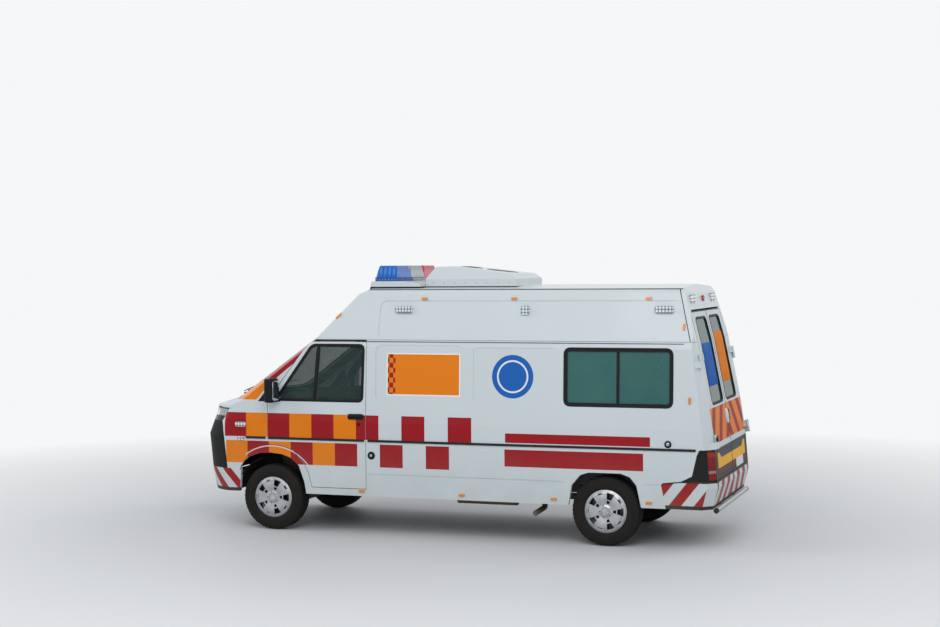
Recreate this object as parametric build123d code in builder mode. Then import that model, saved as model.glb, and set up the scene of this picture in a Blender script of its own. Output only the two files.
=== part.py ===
from build123d import *
import math
import os

os.makedirs("parts", exist_ok=True)

# High-roof van ambulance. Millimetres, +X forward, +Y to the left, +Z up, ground at z = 0.
# Lengths along the body are given ahead of the front axle, or ahead of the rear axle behind the cab.
wheelbase = 3700
front_overhang = 925
rear_overhang = 1135
body_width = 1900
sill_height = 410
body_wall = 45
panel_gap = 6
front_axle_x = (front_overhang + wheelbase + rear_overhang) / 2 - front_overhang
rear = -wheelbase
half_width = body_width / 2

# Wheels and tyres
tyre_diameter = 703
tyre_width = 214
rim_radius = 192
wheel_cover_radius = 218
track_width = 1616
tyre_y = track_width / 2
hub_z = tyre_diameter / 2
spindle_radius = 25
bearing_clearance = 0.3
running_gap = 6

# Heights of the body
belt_height = 1187
gutter_height = 2056
roof_corner_height = 2590
roof_crown_height = 2624
cowl_height = 1400
floor_bottom = 580
floor_thickness = 40
floor_top = floor_bottom + floor_thickness
bumper_top = 655
grille_top = 1165
headlamp_top = 1310
rear_bumper_top = 690
rear_trim_top = 1000
past_nose = 1000

# Half widths of the body's cross-section above the belt
window_top_half = 907
window_top_height = 1985
gutter_half = 890
roof_corner_half = 722
roof_corner_radius = 90

# Cab doors
door_front_x = 40
door_rear_x = -1115
door_top = 2040
door_bottom = 480
door_glass_sill = 1410

# Side windows of the patient compartment, ahead of the rear axle
side_window_front = 415
side_window_rear = -695
side_window_bottom = 1412
side_window_top = 1988
window_rubber = 30
corner_radius = 55

side_plane = Plane(origin=(front_axle_x, 0, 0), x_dir=(1, 0, 0), z_dir=(0, -1, 0))
cross_plane = Plane(origin=(front_axle_x, 0, 0), x_dir=(0, 1, 0), z_dir=(1, 0, 0))
far = 1300


def plan_plane(height):
    return Plane(origin=(front_axle_x, 0, height))


def side_sketch(points, radius=0, grow=0):
    """Outline seen from the side: (ahead of the front axle, height), corners rounded, then grown."""
    with BuildSketch(side_plane) as outline:
        with BuildLine():
            Polyline(*points, close=True)
        make_face()
        if radius:
            fillet(outline.vertices(), radius)
        if grow:
            offset(amount=grow, kind=Kind.INTERSECTION)
    return outline.sketch


def front_sketch(points, radius=0, grow=0):
    """Outline seen from behind: (to the left, height), corners rounded, then grown."""
    with BuildSketch(cross_plane) as outline:
        with BuildLine():
            Polyline(*points, close=True)
        make_face()
        if radius:
            fillet(outline.vertices(), radius)
        if grow:
            offset(amount=grow, kind=Kind.INTERSECTION)
    return outline.sketch


# Plan sections of the whole body, from the sill up to the roof:
# height, then how far ahead of the front axle the middle, shoulders, corners and flanks of the
# front stand, and how far behind the rear axle the tail stands.
shoulder_y = 700
corner_y = 870
tail_corner = 110
plan_margin = 20
plan_sections = (
    (sill_height, 840, 780, 655, 400, 1077),
    (620, 885, 825, 700, 420, 1130),
    (1010, front_overhang, 864, 740, 430, 1100),
    (grille_top, 862, 800, 680, 420, 1078),
    (1240, 830, 768, 640, 400, 1067),
    (1335, 815, 745, 610, 380, 1053),
    (cowl_height, 600, 510, 400, 300, 1043),
    (gutter_height, -345, -430, -510, -600, 916),
    (2540, -870, -955, -1040, -1120, 790),
    (2640, -1130, -1215, -1300, -1380, 730),
)


def plan_sketch(section, inset=0, grow=0):
    """One row of plan_sections as a face, its edge moved inwards by inset, then grown."""
    height, middle, shoulder, corner, flank, tail = section
    side_front = flank - inset
    side_y = half_width + plan_margin - inset
    back = rear - tail + inset
    with BuildSketch(plan_plane(height)) as outline:
        with BuildLine():
            ThreePointArc((shoulder - inset, -shoulder_y), (middle - inset, 0),
                          (shoulder - inset, shoulder_y))
            ThreePointArc((shoulder - inset, shoulder_y),
                          (corner - inset, corner_y - inset * 0.6), (side_front, side_y))
            Line((side_front, side_y), (back + tail_corner, side_y))
            Line((back + tail_corner, side_y), (back, side_y - tail_corner))
            Line((back, side_y - tail_corner), (back, tail_corner - side_y))
            Line((back, tail_corner - side_y), (back + tail_corner, -side_y))
            Line((back + tail_corner, -side_y), (side_front, -side_y))
            ThreePointArc((side_front, -side_y), (corner - inset, inset * 0.6 - corner_y),
                          (shoulder - inset, -shoulder_y))
        make_face()
        if grow:
            offset(amount=grow, kind=Kind.INTERSECTION)
    return outline.sketch


def body_form(inset):
    """Solid outer form of the body, with every side moved inwards by inset."""
    with BuildPart() as form:
        for section in plan_sections:
            add(plan_sketch(section, inset))
        loft(ruled=True)
        with BuildSketch(cross_plane) as section:
            low = sill_height - (inset > 0) * 100
            with BuildLine():
                half = [
                    (half_width - inset, low),
                    (half_width - inset, belt_height),
                    (window_top_half - inset, window_top_height),
                    (gutter_half - inset, gutter_height),
                    (roof_corner_half - inset * 0.8, roof_corner_height - inset),
                ]
                other = [(-y, z) for y, z in reversed(half)]
                Polyline(*half, (0, roof_crown_height - inset), *other, close=True)
            make_face()
            fillet(section.vertices().group_by(Axis.Y)[-2], roof_corner_radius - inset)
        extrude(amount=wheelbase * 2, both=True, mode=Mode.INTERSECT)
    return form.part


outer_form = body_form(0)
inner_form = body_form(body_wall)
glass_outside = body_form(12)
glass_inside = body_form(17)
rubber_inside = body_form(25)

with BuildPart() as body_shell:
    add(outer_form)
    add(inner_form, mode=Mode.SUBTRACT)

with BuildPart() as glass_shell:
    add(glass_outside)
    add(glass_inside, mode=Mode.SUBTRACT)

with BuildPart() as rubber_shell:
    add(outer_form)
    add(rubber_inside, mode=Mode.SUBTRACT)

# Thin layers over the outer form: what is pressed in, and what stands proud of it
press_depth = 5
strip_depth = 9
pressed_form = body_form(press_depth)
with BuildPart() as press_layer:
    add(outer_form)
    add(pressed_form, mode=Mode.SUBTRACT)

with BuildPart() as proud_layer:
    add(body_form(-strip_depth))
    add(outer_form, mode=Mode.SUBTRACT)


def on_left_side(layer, rows, radius):
    """Rounded oblongs of a layer on the left side; rows of front end, rear end, bottom, top."""
    with BuildPart() as pieces:
        add(layer.part)
        with BuildSketch(side_plane):
            for front_end, rear_end, bottom, top in rows:
                with Locations(((front_end + rear_end) / 2, (bottom + top) / 2)):
                    RectangleRounded(front_end - rear_end, top - bottom, radius)
        extrude(amount=-far, mode=Mode.INTERSECT)
    return pieces.part


# Outlines seen from the side that split the shell into its panels
door_outline = [
    (door_front_x, 920), (door_front_x, 1390), (-445, door_top), (door_rear_x, door_top),
    (door_rear_x, door_bottom), (-483, door_bottom), (-440, 632), (-388, 740), (-253, 875),
    (-107, 915),
]
door_opening = side_sketch(door_outline)
front_arch = side_sketch([
    (386, 300), (365, 676), (290, 775), (150, 828), (0, 838), (-130, 824), (-225, 793),
    (-330, 708), (-396, 533), (-434, 300),
])
rear_arch = side_sketch([
    (rear + 392, 300), (rear + 340, 610), (rear + 250, 715), (rear + 160, 744),
    (rear - 170, 744), (rear - 265, 710), (rear - 330, 630), (rear - 402, 300),
])
bumper_zone = side_sketch([(386, 300), (360, bumper_top), (past_nose, bumper_top), (past_nose, 300)])
grille_zone = side_sketch([
    (523, bumper_top), (575, 1115), (589, grille_top), (past_nose, grille_top), (past_nose, bumper_top),
])
headlamp_zone = side_sketch([
    (589, grille_top), (489, headlamp_top), (past_nose, headlamp_top), (past_nose, grille_top),
])
rear_bumper_zone = side_sketch([
    (rear - 648, 300), (rear - 580, 646), (rear - 890, rear_bumper_top),
    (rear - 1300, rear_bumper_top), (rear - 1300, 300),
])
rear_trim_zone = side_sketch([
    (rear - 580, 646), (rear - 600, 665), (rear - 780, 685), (rear - 890, 740),
    (rear - 940, 950), (rear - 965, rear_trim_top), (rear - 1300, rear_trim_top),
    (rear - 1300, rear_bumper_top), (rear - 890, rear_bumper_top),
])
tail_zone = side_sketch([
    (rear - 965, rear_trim_top), (rear - 800, gutter_height), (rear - 1300, gutter_height),
    (rear - 1300, rear_trim_top),
])

# Opening of the two rear doors, seen from behind
rear_door_half = 845
rear_door_top_half = 745
rear_door_top = 2372
rear_door_opening = front_sketch([
    (rear_door_half, rear_bumper_top), (rear_door_half, 1100), (rear_door_top_half, 2300),
    (rear_door_top_half - 60, rear_door_top), (60 - rear_door_top_half, rear_door_top),
    (-rear_door_top_half, 2300), (-rear_door_half, 1100), (-rear_door_half, rear_bumper_top),
])
tail_depth = 600

headlamp_inner_y = 480
bonnet_half = 866

window_outline = [
    (rear + side_window_front, side_window_bottom), (rear + side_window_front, side_window_top),
    (rear + side_window_rear, side_window_top), (rear + side_window_rear, side_window_bottom),
]
side_window = side_sketch(window_outline, radius=corner_radius)
side_window_pane = side_sketch(window_outline, radius=corner_radius, grow=-window_rubber)

# Rub strip along the flank, drip rail at the gutter and pressed panels of the left side
strip_low = 984
strip_high = 1008
strip_ends = 20
rail_low = gutter_height - 12
pressed_corner = 60
side_pressings = (
    # front end, rear end, bottom, top
    (-1220, -2193, 1415, 2004), (-2309, rear + 495, 1425, side_window_top),
)
roof_pressing = (-1227, rear - 773, gutter_height + 32, 2466)
side_strips = (
    (door_rear_x - strip_ends, rear - 930, strip_low, strip_high),
    (door_rear_x, rear - 800, rail_low, gutter_height),
)
swage_lines = (
    (door_rear_x - strip_ends, rear + 420, 636, 648), (rear - 420, rear - 560, 636, 648),
)

# Body side: from the cab door back to the tail, with the sill under the door
with BuildPart() as left_body_side:
    add(body_shell.part)
    extrude(side_sketch([
        (door_rear_x, gutter_height), (door_rear_x, door_bottom), (-483, door_bottom),
        (-434, sill_height), (rear - 1300, sill_height), (rear - 1300, gutter_height),
    ]), amount=-far, mode=Mode.INTERSECT)
    for zone in (rear_arch, rear_bumper_zone, rear_trim_zone, tail_zone, side_window):
        extrude(zone, amount=-far, mode=Mode.SUBTRACT)
    add(on_left_side(press_layer, side_pressings, pressed_corner), mode=Mode.SUBTRACT)
    add(on_left_side(press_layer, swage_lines, 4), mode=Mode.SUBTRACT)
    add(on_left_side(proud_layer, side_strips, 4))
left_body_side.part.label = "left_body_side"
export_step(left_body_side.part, "parts/left_body_side.step")

with BuildPart() as right_body_side:
    mirror(left_body_side.part, about=Plane.XZ)
right_body_side.part.label = "right_body_side"
export_step(right_body_side.part, "parts/right_body_side.step")

# High roof: everything above the gutter, open at the rear for the doors
with BuildPart() as high_roof:
    add(body_shell.part)
    with BuildSketch(plan_plane(gutter_height)):
        Rectangle(wheelbase * 4, far * 2)
    extrude(amount=800, mode=Mode.INTERSECT)
    extrude(rear_door_opening.moved(Location((rear - 1300, 0, 0))), amount=tail_depth,
            mode=Mode.SUBTRACT)
    left_pressing = on_left_side(press_layer, [roof_pressing], pressed_corner)
    add(left_pressing, mode=Mode.SUBTRACT)
    add(mirror(left_pressing, about=Plane.XZ, mode=Mode.PRIVATE), mode=Mode.SUBTRACT)
high_roof.part.label = "high_roof"
export_step(high_roof.part, "parts/high_roof.step")

# The rear doors hang on a pin line that leans with the tail and stands just behind it
hinge_y = 865
hinge_lean = 0.199
hinge_base_x = rear - 1140
hinge_base_z = 1011
hinge_barrel_radius = 13
hinge_half = 65
hinge_play = 0.3
pin_radius = 3
door_hinges = (
    # height, how far inboard of the pins the edge of the door runs
    (1080, 26), (1875, 91),
)


def hinge_plane(height):
    """Plane across the pin line: x outboard to the left, y rearwards, z up along the pins."""
    origin = (front_axle_x + hinge_base_x + hinge_lean * (height - hinge_base_z), hinge_y, height)
    return Plane(origin=origin, x_dir=(0, 1, 0), z_dir=(hinge_lean, 0, 1))


# Rear door frame: the corner pillars between trims and gutter, with the lower hinge halves
with BuildPart() as rear_door_frame:
    for hinge_height, edge_reach in door_hinges:
        with BuildSketch(hinge_plane(hinge_height).offset(-hinge_half)):
            Circle(hinge_barrel_radius)
            with Locations((21, -48)):
                Rectangle(42, 96)
        extrude(amount=hinge_half - hinge_play / 2)
    mirror(rear_door_frame.part, about=Plane.XZ)
    add(outer_form, mode=Mode.SUBTRACT)
    add(body_shell.part)
    extrude(tail_zone, amount=far, both=True, mode=Mode.INTERSECT)
    extrude(rear_door_opening.moved(Location((rear - 1300, 0, 0))), amount=tail_depth,
            mode=Mode.SUBTRACT)
rear_door_frame.part.label = "rear_door_frame"
export_step(rear_door_frame.part, "parts/rear_door_frame.step")

# Tail lamps stand in the dark corner trims
lamp_zone = front_sketch([
    (862, 705), (862, 985), (925, 985), (925, 705),
])
with BuildPart() as tail_lamps:
    add(body_shell.part)
    extrude(lamp_zone.moved(Location((rear - 1300, 0, 0))), amount=300, mode=Mode.INTERSECT)
    mirror(tail_lamps.part, about=Plane.XZ)
tail_lamps.part.label = "tail_lamps"
export_step(tail_lamps.part, "parts/tail_lamps.step")

with BuildPart() as rear_corner_trims:
    add(body_shell.part)
    extrude(rear_trim_zone, amount=far, both=True, mode=Mode.INTERSECT)
    extrude(rear_door_opening.moved(Location((rear - 1300, 0, 0))), amount=tail_depth,
            mode=Mode.SUBTRACT)
    add(tail_lamps.part, mode=Mode.SUBTRACT)
rear_corner_trims.part.label = "rear_corner_trims"
export_step(rear_corner_trims.part, "parts/rear_corner_trims.step")

with BuildPart() as rear_bumper:
    add(body_shell.part)
    extrude(rear_bumper_zone, amount=far, both=True, mode=Mode.INTERSECT)
rear_bumper.part.label = "rear_bumper"
export_step(rear_bumper.part, "parts/rear_bumper.step")

# Nose: bumper, dark grille fascia, headlamps, bonnet and wings
intake_z = 520
intake_width = 760
intake_height = 80
with BuildPart() as front_bumper:
    add(body_shell.part)
    extrude(bumper_zone, amount=far, both=True, mode=Mode.INTERSECT)
    with BuildSketch(cross_plane):
        with Locations((0, intake_z)):
            RectangleRounded(intake_width, intake_height, 20)
    extrude(amount=1000, mode=Mode.SUBTRACT)
front_bumper.part.label = "front_bumper"
export_step(front_bumper.part, "parts/front_bumper.step")

grille_half = 430
slot_height = 42
slot_pitch = 72
slot_count = 4
slot_middle_z = 960
with BuildPart() as front_grille:
    add(body_shell.part)
    extrude(grille_zone, amount=far, both=True, mode=Mode.INTERSECT)
    with BuildSketch(cross_plane):
        with GridLocations(0, slot_pitch, 1, slot_count):
            with Locations((0, slot_middle_z)):
                RectangleRounded(grille_half * 2, slot_height, 15)
    extrude(amount=1000, mode=Mode.SUBTRACT)
front_grille.part.label = "front_grille"
export_step(front_grille.part, "parts/front_grille.step")

lamp_side = front_sketch([
    (headlamp_inner_y, 1100), (headlamp_inner_y, 1400), (far, 1400), (far, 1100),
])
with BuildPart() as headlamps:
    add(body_shell.part)
    extrude(headlamp_zone, amount=far, both=True, mode=Mode.INTERSECT)
    extrude(lamp_side, amount=1000, mode=Mode.INTERSECT)
    mirror(headlamps.part, about=Plane.XZ)
headlamps.part.label = "headlamps"
export_step(headlamps.part, "parts/headlamps.step")

# Slam panel between the headlamps, above the grille
with BuildPart() as nose_panel:
    add(body_shell.part)
    extrude(headlamp_zone, amount=far, both=True, mode=Mode.INTERSECT)
    with BuildSketch(plan_plane(1100)):
        Rectangle(3000, headlamp_inner_y * 2)
    extrude(amount=400, mode=Mode.INTERSECT)
nose_panel.part.label = "nose_panel"
export_step(nose_panel.part, "parts/nose_panel.step")

# The bonnet's rear edge follows the plan outline of the cowl and turns on pins at its two ends
bonnet_rear_x = 398
cowl_lap = 34
cowl_cut = cowl_height + 4
hinge_pin_x = 409
hinge_pin_z = cowl_height + 0.5
hinge_pin_length = 36
cowl_section = [section for section in plan_sections if section[0] == cowl_height][0]
bonnet_zone = side_sketch([
    (bonnet_rear_x, headlamp_top + panel_gap), (bonnet_rear_x, cowl_height), (past_nose, cowl_height),
    (past_nose, headlamp_top + panel_gap),
])
bonnet_opening = side_sketch([
    (bonnet_rear_x - panel_gap, headlamp_top), (bonnet_rear_x - panel_gap, cowl_cut),
    (past_nose, cowl_cut), (past_nose, headlamp_top),
])
with BuildPart() as bonnet:
    add(body_shell.part)
    extrude(bonnet_zone, amount=bonnet_half, both=True, mode=Mode.INTERSECT)
    extrude(plan_sketch(cowl_section, grow=panel_gap), amount=cowl_lap, both=True,
            mode=Mode.SUBTRACT)
bonnet.part.label = "bonnet"
export_step(bonnet.part, "parts/bonnet.step")

wing_strip = (295, door_front_x + strip_ends, strip_low, strip_high)
with BuildPart() as front_wings:
    add(body_shell.part)
    extrude(side_sketch([
        (-434, sill_height), (-483, door_bottom), (-483, cowl_cut), (past_nose, cowl_cut),
        (past_nose, sill_height),
    ]), amount=-far, mode=Mode.INTERSECT)
    for zone in (door_opening, front_arch, bumper_zone, grille_zone, headlamp_zone):
        extrude(zone, amount=-far, mode=Mode.SUBTRACT)
    extrude(bonnet_opening, amount=-(bonnet_half + panel_gap), mode=Mode.SUBTRACT)
    with BuildSketch(plan_plane(sill_height)):
        with Locations((500, 0)):
            Rectangle(1000, headlamp_inner_y * 2)
    extrude(amount=1000, mode=Mode.SUBTRACT)
    add(on_left_side(proud_layer, [wing_strip], 4))
    for pin_z in (930, 1110):
        with BuildSketch(plan_plane(pin_z)):
            with Locations((door_front_x - pin_radius + 0.4, half_width - 1)):
                Circle(pin_radius)
        extrude(amount=60)
    mirror(front_wings.part, about=Plane.XZ)
front_wings.part.label = "front_wings"
export_step(front_wings.part, "parts/front_wings.step")

# Windscreen frame: cowl, pillars and header around the raked glass
screen_half_low = 795
screen_half_top = 735
screen_low = cowl_height + 32
screen_high = gutter_height - 31
screen_reach = 900
screen_outline = front_sketch([
    (screen_half_low, screen_low), (screen_half_top, screen_high),
    (-screen_half_top, screen_high), (-screen_half_low, screen_low),
], radius=70)
with BuildPart() as cowl_lip:
    add(body_shell.part)
    extrude(plan_sketch(cowl_section), amount=cowl_lap, both=True, mode=Mode.INTERSECT)
    extrude(side_sketch([
        (bonnet_rear_x - panel_gap, cowl_height - cowl_lap),
        (bonnet_rear_x - panel_gap, cowl_cut), (past_nose, cowl_cut),
        (past_nose, cowl_height - cowl_lap),
    ]), amount=bonnet_half, both=True, mode=Mode.INTERSECT)
with BuildPart() as windscreen_frame:
    add(body_shell.part)
    extrude(side_sketch([
        (door_rear_x, cowl_cut), (door_rear_x, gutter_height), (past_nose, gutter_height),
        (past_nose, cowl_cut),
    ]), amount=far, both=True, mode=Mode.INTERSECT)
    extrude(door_opening, amount=far, both=True, mode=Mode.SUBTRACT)
    extrude(screen_outline, amount=screen_reach, both=True, mode=Mode.SUBTRACT)
    add(cowl_lip.part)
    drip_rail = on_left_side(proud_layer, [(-520, door_rear_x, rail_low, gutter_height)], 4)
    add(drip_rail)
    add(mirror(drip_rail, about=Plane.XZ, mode=Mode.PRIVATE))
    for side in (1, -1):
        with BuildSketch(side_plane.offset(side * (hinge_pin_length - bonnet_half))):
            with Locations((hinge_pin_x, hinge_pin_z)):
                Circle(pin_radius)
        extrude(amount=-side * hinge_pin_length)
windscreen_frame.part.label = "windscreen_frame"
export_step(windscreen_frame.part, "parts/windscreen_frame.step")

with BuildPart() as windscreen:
    add(glass_shell.part)
    extrude(screen_outline, amount=screen_reach, both=True, mode=Mode.INTERSECT)
windscreen.part.label = "windscreen"
export_step(windscreen.part, "parts/windscreen.step")

window_divider = 26
window_middle = rear + (side_window_front + side_window_rear) / 2
divider_row = (window_middle + window_divider / 2, window_middle - window_divider / 2,
               side_window_bottom + 2, side_window_top - 2)
with BuildPart() as side_window_frames:
    add(rubber_shell.part)
    extrude(side_window, amount=-far, mode=Mode.INTERSECT)
    extrude(side_window_pane, amount=-far, mode=Mode.SUBTRACT)
    add(on_left_side(rubber_shell, [divider_row], 4))
    mirror(side_window_frames.part, about=Plane.XZ)
side_window_frames.part.label = "side_window_frames"
export_step(side_window_frames.part, "parts/side_window_frames.step")

with BuildPart() as side_window_glass:
    add(glass_shell.part)
    extrude(side_window_pane, amount=-far, mode=Mode.INTERSECT)
    add(side_window_frames.part, mode=Mode.SUBTRACT)
    mirror(side_window_glass.part, about=Plane.XZ)
side_window_glass.part.label = "side_window_glass"
export_step(side_window_glass.part, "parts/side_window_glass.step")

# Cab doors: whole thickness, with the window cut through, glass, and mirrors on their corners
door_panel = side_sketch(door_outline, grow=-panel_gap)
door_strip = (door_front_x - strip_ends + 5, door_rear_x + strip_ends, strip_low, strip_high)
quarter_bar = side_sketch([(-500, 1380), (-540, 2020), (-566, 2020), (-526, 1380)])
door_glass = side_sketch([
    (-60, door_glass_sill), (-483, 1997), (-1080, 1997), (-1068, door_glass_sill),
], radius=40)
with BuildPart() as quarter_post:
    add(body_shell.part)
    extrude(quarter_bar, amount=-far, mode=Mode.INTERSECT)
with BuildPart() as left_front_door:
    add(body_shell.part)
    extrude(door_panel, amount=-far, mode=Mode.INTERSECT)
    extrude(door_glass, amount=-far, mode=Mode.SUBTRACT)
    add(quarter_post.part)
    add(on_left_side(proud_layer, [door_strip], 4))
left_front_door.part.label = "left_front_door"
export_step(left_front_door.part, "parts/left_front_door.step")

with BuildPart() as left_front_door_glass:
    add(glass_shell.part)
    extrude(door_glass, amount=-far, mode=Mode.INTERSECT)
    extrude(quarter_bar, amount=-far, mode=Mode.SUBTRACT)
left_front_door_glass.part.label = "left_front_door_glass"
export_step(left_front_door_glass.part, "parts/left_front_door_glass.step")

mirror_front = -20
mirror_depth = 110
mirror_low = 1390
mirror_high = 1645
mirror_inner_y = 985
mirror_width = 175
with BuildPart() as left_mirror:
    with BuildSketch(plan_plane(mirror_low)):
        with Locations((mirror_front - mirror_depth / 2, mirror_inner_y + mirror_width / 2)):
            RectangleRounded(mirror_depth, mirror_width, 40)
    extrude(amount=mirror_high - mirror_low)
    fillet(left_mirror.edges().group_by(Axis.Z)[-1] + left_mirror.edges().group_by(Axis.Z)[0], 22)
    with BuildSketch(side_plane.offset(-900)):
        with BuildLine():
            Polyline((-6, 1420), (-68, 1500), (-105, 1500), (-105, 1440), (-60, 1420), close=True)
        make_face()
    extrude(amount=-130)
    add(outer_form, mode=Mode.SUBTRACT)
left_mirror.part.label = "left_mirror"
export_step(left_mirror.part, "parts/left_mirror.step")

# Rear doors, split on the centre line; they rise as they swing out on their leaning pins
door_edge_top = rear_door_top - 9
rear_door_edge = front_sketch([
    (rear_door_half, rear_bumper_top), (rear_door_half, 1100), (rear_door_top_half, 2300),
    (rear_door_top_half - 60, door_edge_top), (0, door_edge_top), (0, rear_bumper_top),
], grow=-panel_gap)
rear_window = front_sketch([
    (650, 1425), (600, 2285), (80, 2285), (75, 1425),
], radius=60)
ledge_inner_y = 20
ledge_outer_y = 740
ledge_z = 1012
ledge_height = 24
with BuildPart() as left_rear_panel:
    add(body_shell.part)
    extrude(rear_door_edge.moved(Location((rear - 1300, 0, 0))), amount=tail_depth,
            mode=Mode.INTERSECT)
    extrude(rear_window.moved(Location((rear - 1300, 0, 0))), amount=tail_depth,
            mode=Mode.SUBTRACT)
with BuildPart() as left_ledge:
    add(proud_layer.part)
    with BuildSketch(cross_plane.offset(rear - 1300)):
        with Locations(((ledge_inner_y + ledge_outer_y) / 2, ledge_z)):
            Rectangle(ledge_outer_y - ledge_inner_y, ledge_height)
    extrude(amount=tail_depth, mode=Mode.INTERSECT)
with BuildPart() as left_door_hinges:
    for hinge_height, edge_reach in door_hinges:
        with BuildSketch(hinge_plane(hinge_height).offset(hinge_play / 2)):
            Circle(hinge_barrel_radius)
            with Locations((-(edge_reach + 70) / 2, -4)):
                Rectangle(edge_reach + 70, 12)
            with Locations((-edge_reach - 40, -40)):
                Rectangle(60, 70)
        extrude(amount=hinge_half)
    add(outer_form, mode=Mode.SUBTRACT)
with BuildPart() as left_rear_door:
    add(left_rear_panel.part)
    add(left_ledge.part)
    add(left_door_hinges.part)
left_rear_door.part.label = "left_rear_door"
export_step(left_rear_door.part, "parts/left_rear_door.step")

with BuildPart() as left_rear_door_glass:
    add(glass_shell.part)
    extrude(rear_window.moved(Location((rear - 1300, 0, 0))), amount=tail_depth,
            mode=Mode.INTERSECT)
left_rear_door_glass.part.label = "left_rear_door_glass"
export_step(left_rear_door_glass.part, "parts/left_rear_door_glass.step")

for name, twin in (
    ("right_front_door", left_front_door),
    ("right_front_door_glass", left_front_door_glass),
    ("right_mirror", left_mirror),
    ("right_rear_door", left_rear_door),
    ("right_rear_door_glass", left_rear_door_glass),
):
    with BuildPart() as right_twin:
        mirror(twin.part, about=Plane.XZ)
    right_twin.part.label = name
    export_step(right_twin.part, "parts/" + name + ".step")

# Tyres and wheels, turned about Y at the origin and then set on the four hubs
bead_half = 76
with BuildPart() as tyre:
    with BuildSketch(Plane.YZ):
        with BuildLine():
            bead_out = (bead_half + 4, rim_radius + 16)
            side_out = (tyre_width / 2, 268)
            shoulder = (96, 336)
            Line((0, rim_radius), (bead_half, rim_radius))
            Line((bead_half, rim_radius), bead_out)
            ThreePointArc(bead_out, side_out, shoulder)
            ThreePointArc(shoulder, (88, 345), (76, 348.5))
            ThreePointArc((76, 348.5), (0, tyre_diameter / 2), (-76, 348.5))
            ThreePointArc((-76, 348.5), (-88, 345), (-96, 336))
            ThreePointArc((-96, 336), (-tyre_width / 2, 268), (-bead_out[0], bead_out[1]))
            Line((-bead_out[0], bead_out[1]), (-bead_half, rim_radius))
            Line((-bead_half, rim_radius), (0, rim_radius))
        make_face()
    revolve(axis=Axis.Y)

flange_outer = 91
barrel_wall = 6
disc_y = 30
hub_radius = 60
hub_inner_y = -46
spindle_end_y = 62
brake_radius = 145
brake_thickness = 16
with BuildPart() as wheel:
    with BuildSketch(Plane.YZ):
        with BuildLine():
            seat = rim_radius - bearing_clearance
            Polyline(
                (-flange_outer, 206), (-bead_half - 5, 206), (-bead_half - 5, seat), (-40, seat),
                (-25, seat - 14), (25, seat - 14), (40, seat), (bead_half + 5, seat),
                (bead_half + 5, 206), (flange_outer, 206), (flange_outer, seat - barrel_wall),
                (45, seat - barrel_wall), (disc_y + 8, seat - 14 - barrel_wall),
                (disc_y + 8, hub_radius), (spindle_end_y, hub_radius),
                (spindle_end_y, spindle_radius + bearing_clearance),
                (hub_inner_y, spindle_radius + bearing_clearance), (hub_inner_y, hub_radius),
                (disc_y, hub_radius), (disc_y, seat - 14 - barrel_wall),
                (-30, seat - 14 - barrel_wall), (-45, seat - barrel_wall),
                (-flange_outer, seat - barrel_wall), close=True)
        make_face()
    revolve(axis=Axis.Y)
    with BuildSketch(Plane.XZ.offset(-disc_y - 20)):
        with PolarLocations(115, 8):
            Circle(22)
    extrude(amount=40, mode=Mode.SUBTRACT)
    with BuildSketch(Plane.XZ.offset(-hub_inner_y)):
        Circle(brake_radius)
        Circle(hub_radius - 5, mode=Mode.SUBTRACT)
    extrude(amount=-brake_thickness)

petal_count = 5
cover_windows = (
    # turn from the first petal, inner and outer radius, inner and outer width
    (0, 176, 200, 38, 50),
    (36, 82, 112, 22, 38),
    (36, 124, 194, 46, 86),
)
with BuildPart() as wheel_cover:
    with BuildSketch(Plane.YZ):
        with BuildLine():
            ThreePointArc((90, wheel_cover_radius), (106, 170), (107, 110))
            Line((107, 110), (101, 70))
            Line((101, 70), (108, 48))
            Line((108, 48), (108, 0))
            Line((108, 0), (100, 0))
            Line((100, 0), (100, 44))
            Line((100, 44), (93, 70))
            Line((93, 70), (99, 112))
            ThreePointArc((99, 112), (98, 168), (90, 196))
            Line((90, 196), (90, wheel_cover_radius))
        make_face()
    revolve(axis=Axis.Y)
    with BuildSketch(Plane.XZ.offset(-140)):
        for turn, inner_radius, outer_radius, inner_width, outer_width in cover_windows:
            with PolarLocations(0, petal_count, start_angle=turn):
                Polygon((inner_radius, -inner_width / 2), (outer_radius, -outer_width / 2),
                        (outer_radius, outer_width / 2), (inner_radius, inner_width / 2),
                        align=None)
    extrude(amount=80, mode=Mode.SUBTRACT)

wheel_places = (
    ("left_front", 0, 1), ("right_front", 0, -1), ("left_rear", rear, 1), ("right_rear", rear, -1),
)
with BuildPart() as whole_wheel:
    add(wheel.part)
    add(wheel_cover.part)
for name, axle_x, side in wheel_places:
    spot = Location((front_axle_x + axle_x, side * tyre_y, hub_z), (0, 0, 0 if side > 0 else 180))
    with BuildPart() as placed_tyre:
        add(tyre.part.moved(spot))
    placed_tyre.part.label = name + "_tyre"
    export_step(placed_tyre.part, "parts/" + name + "_tyre.step")
    with BuildPart() as placed_wheel:
        add(whole_wheel.part.moved(spot))
    placed_wheel.part.label = name + "_wheel"
    export_step(placed_wheel.part, "parts/" + name + "_wheel.step")

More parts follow.
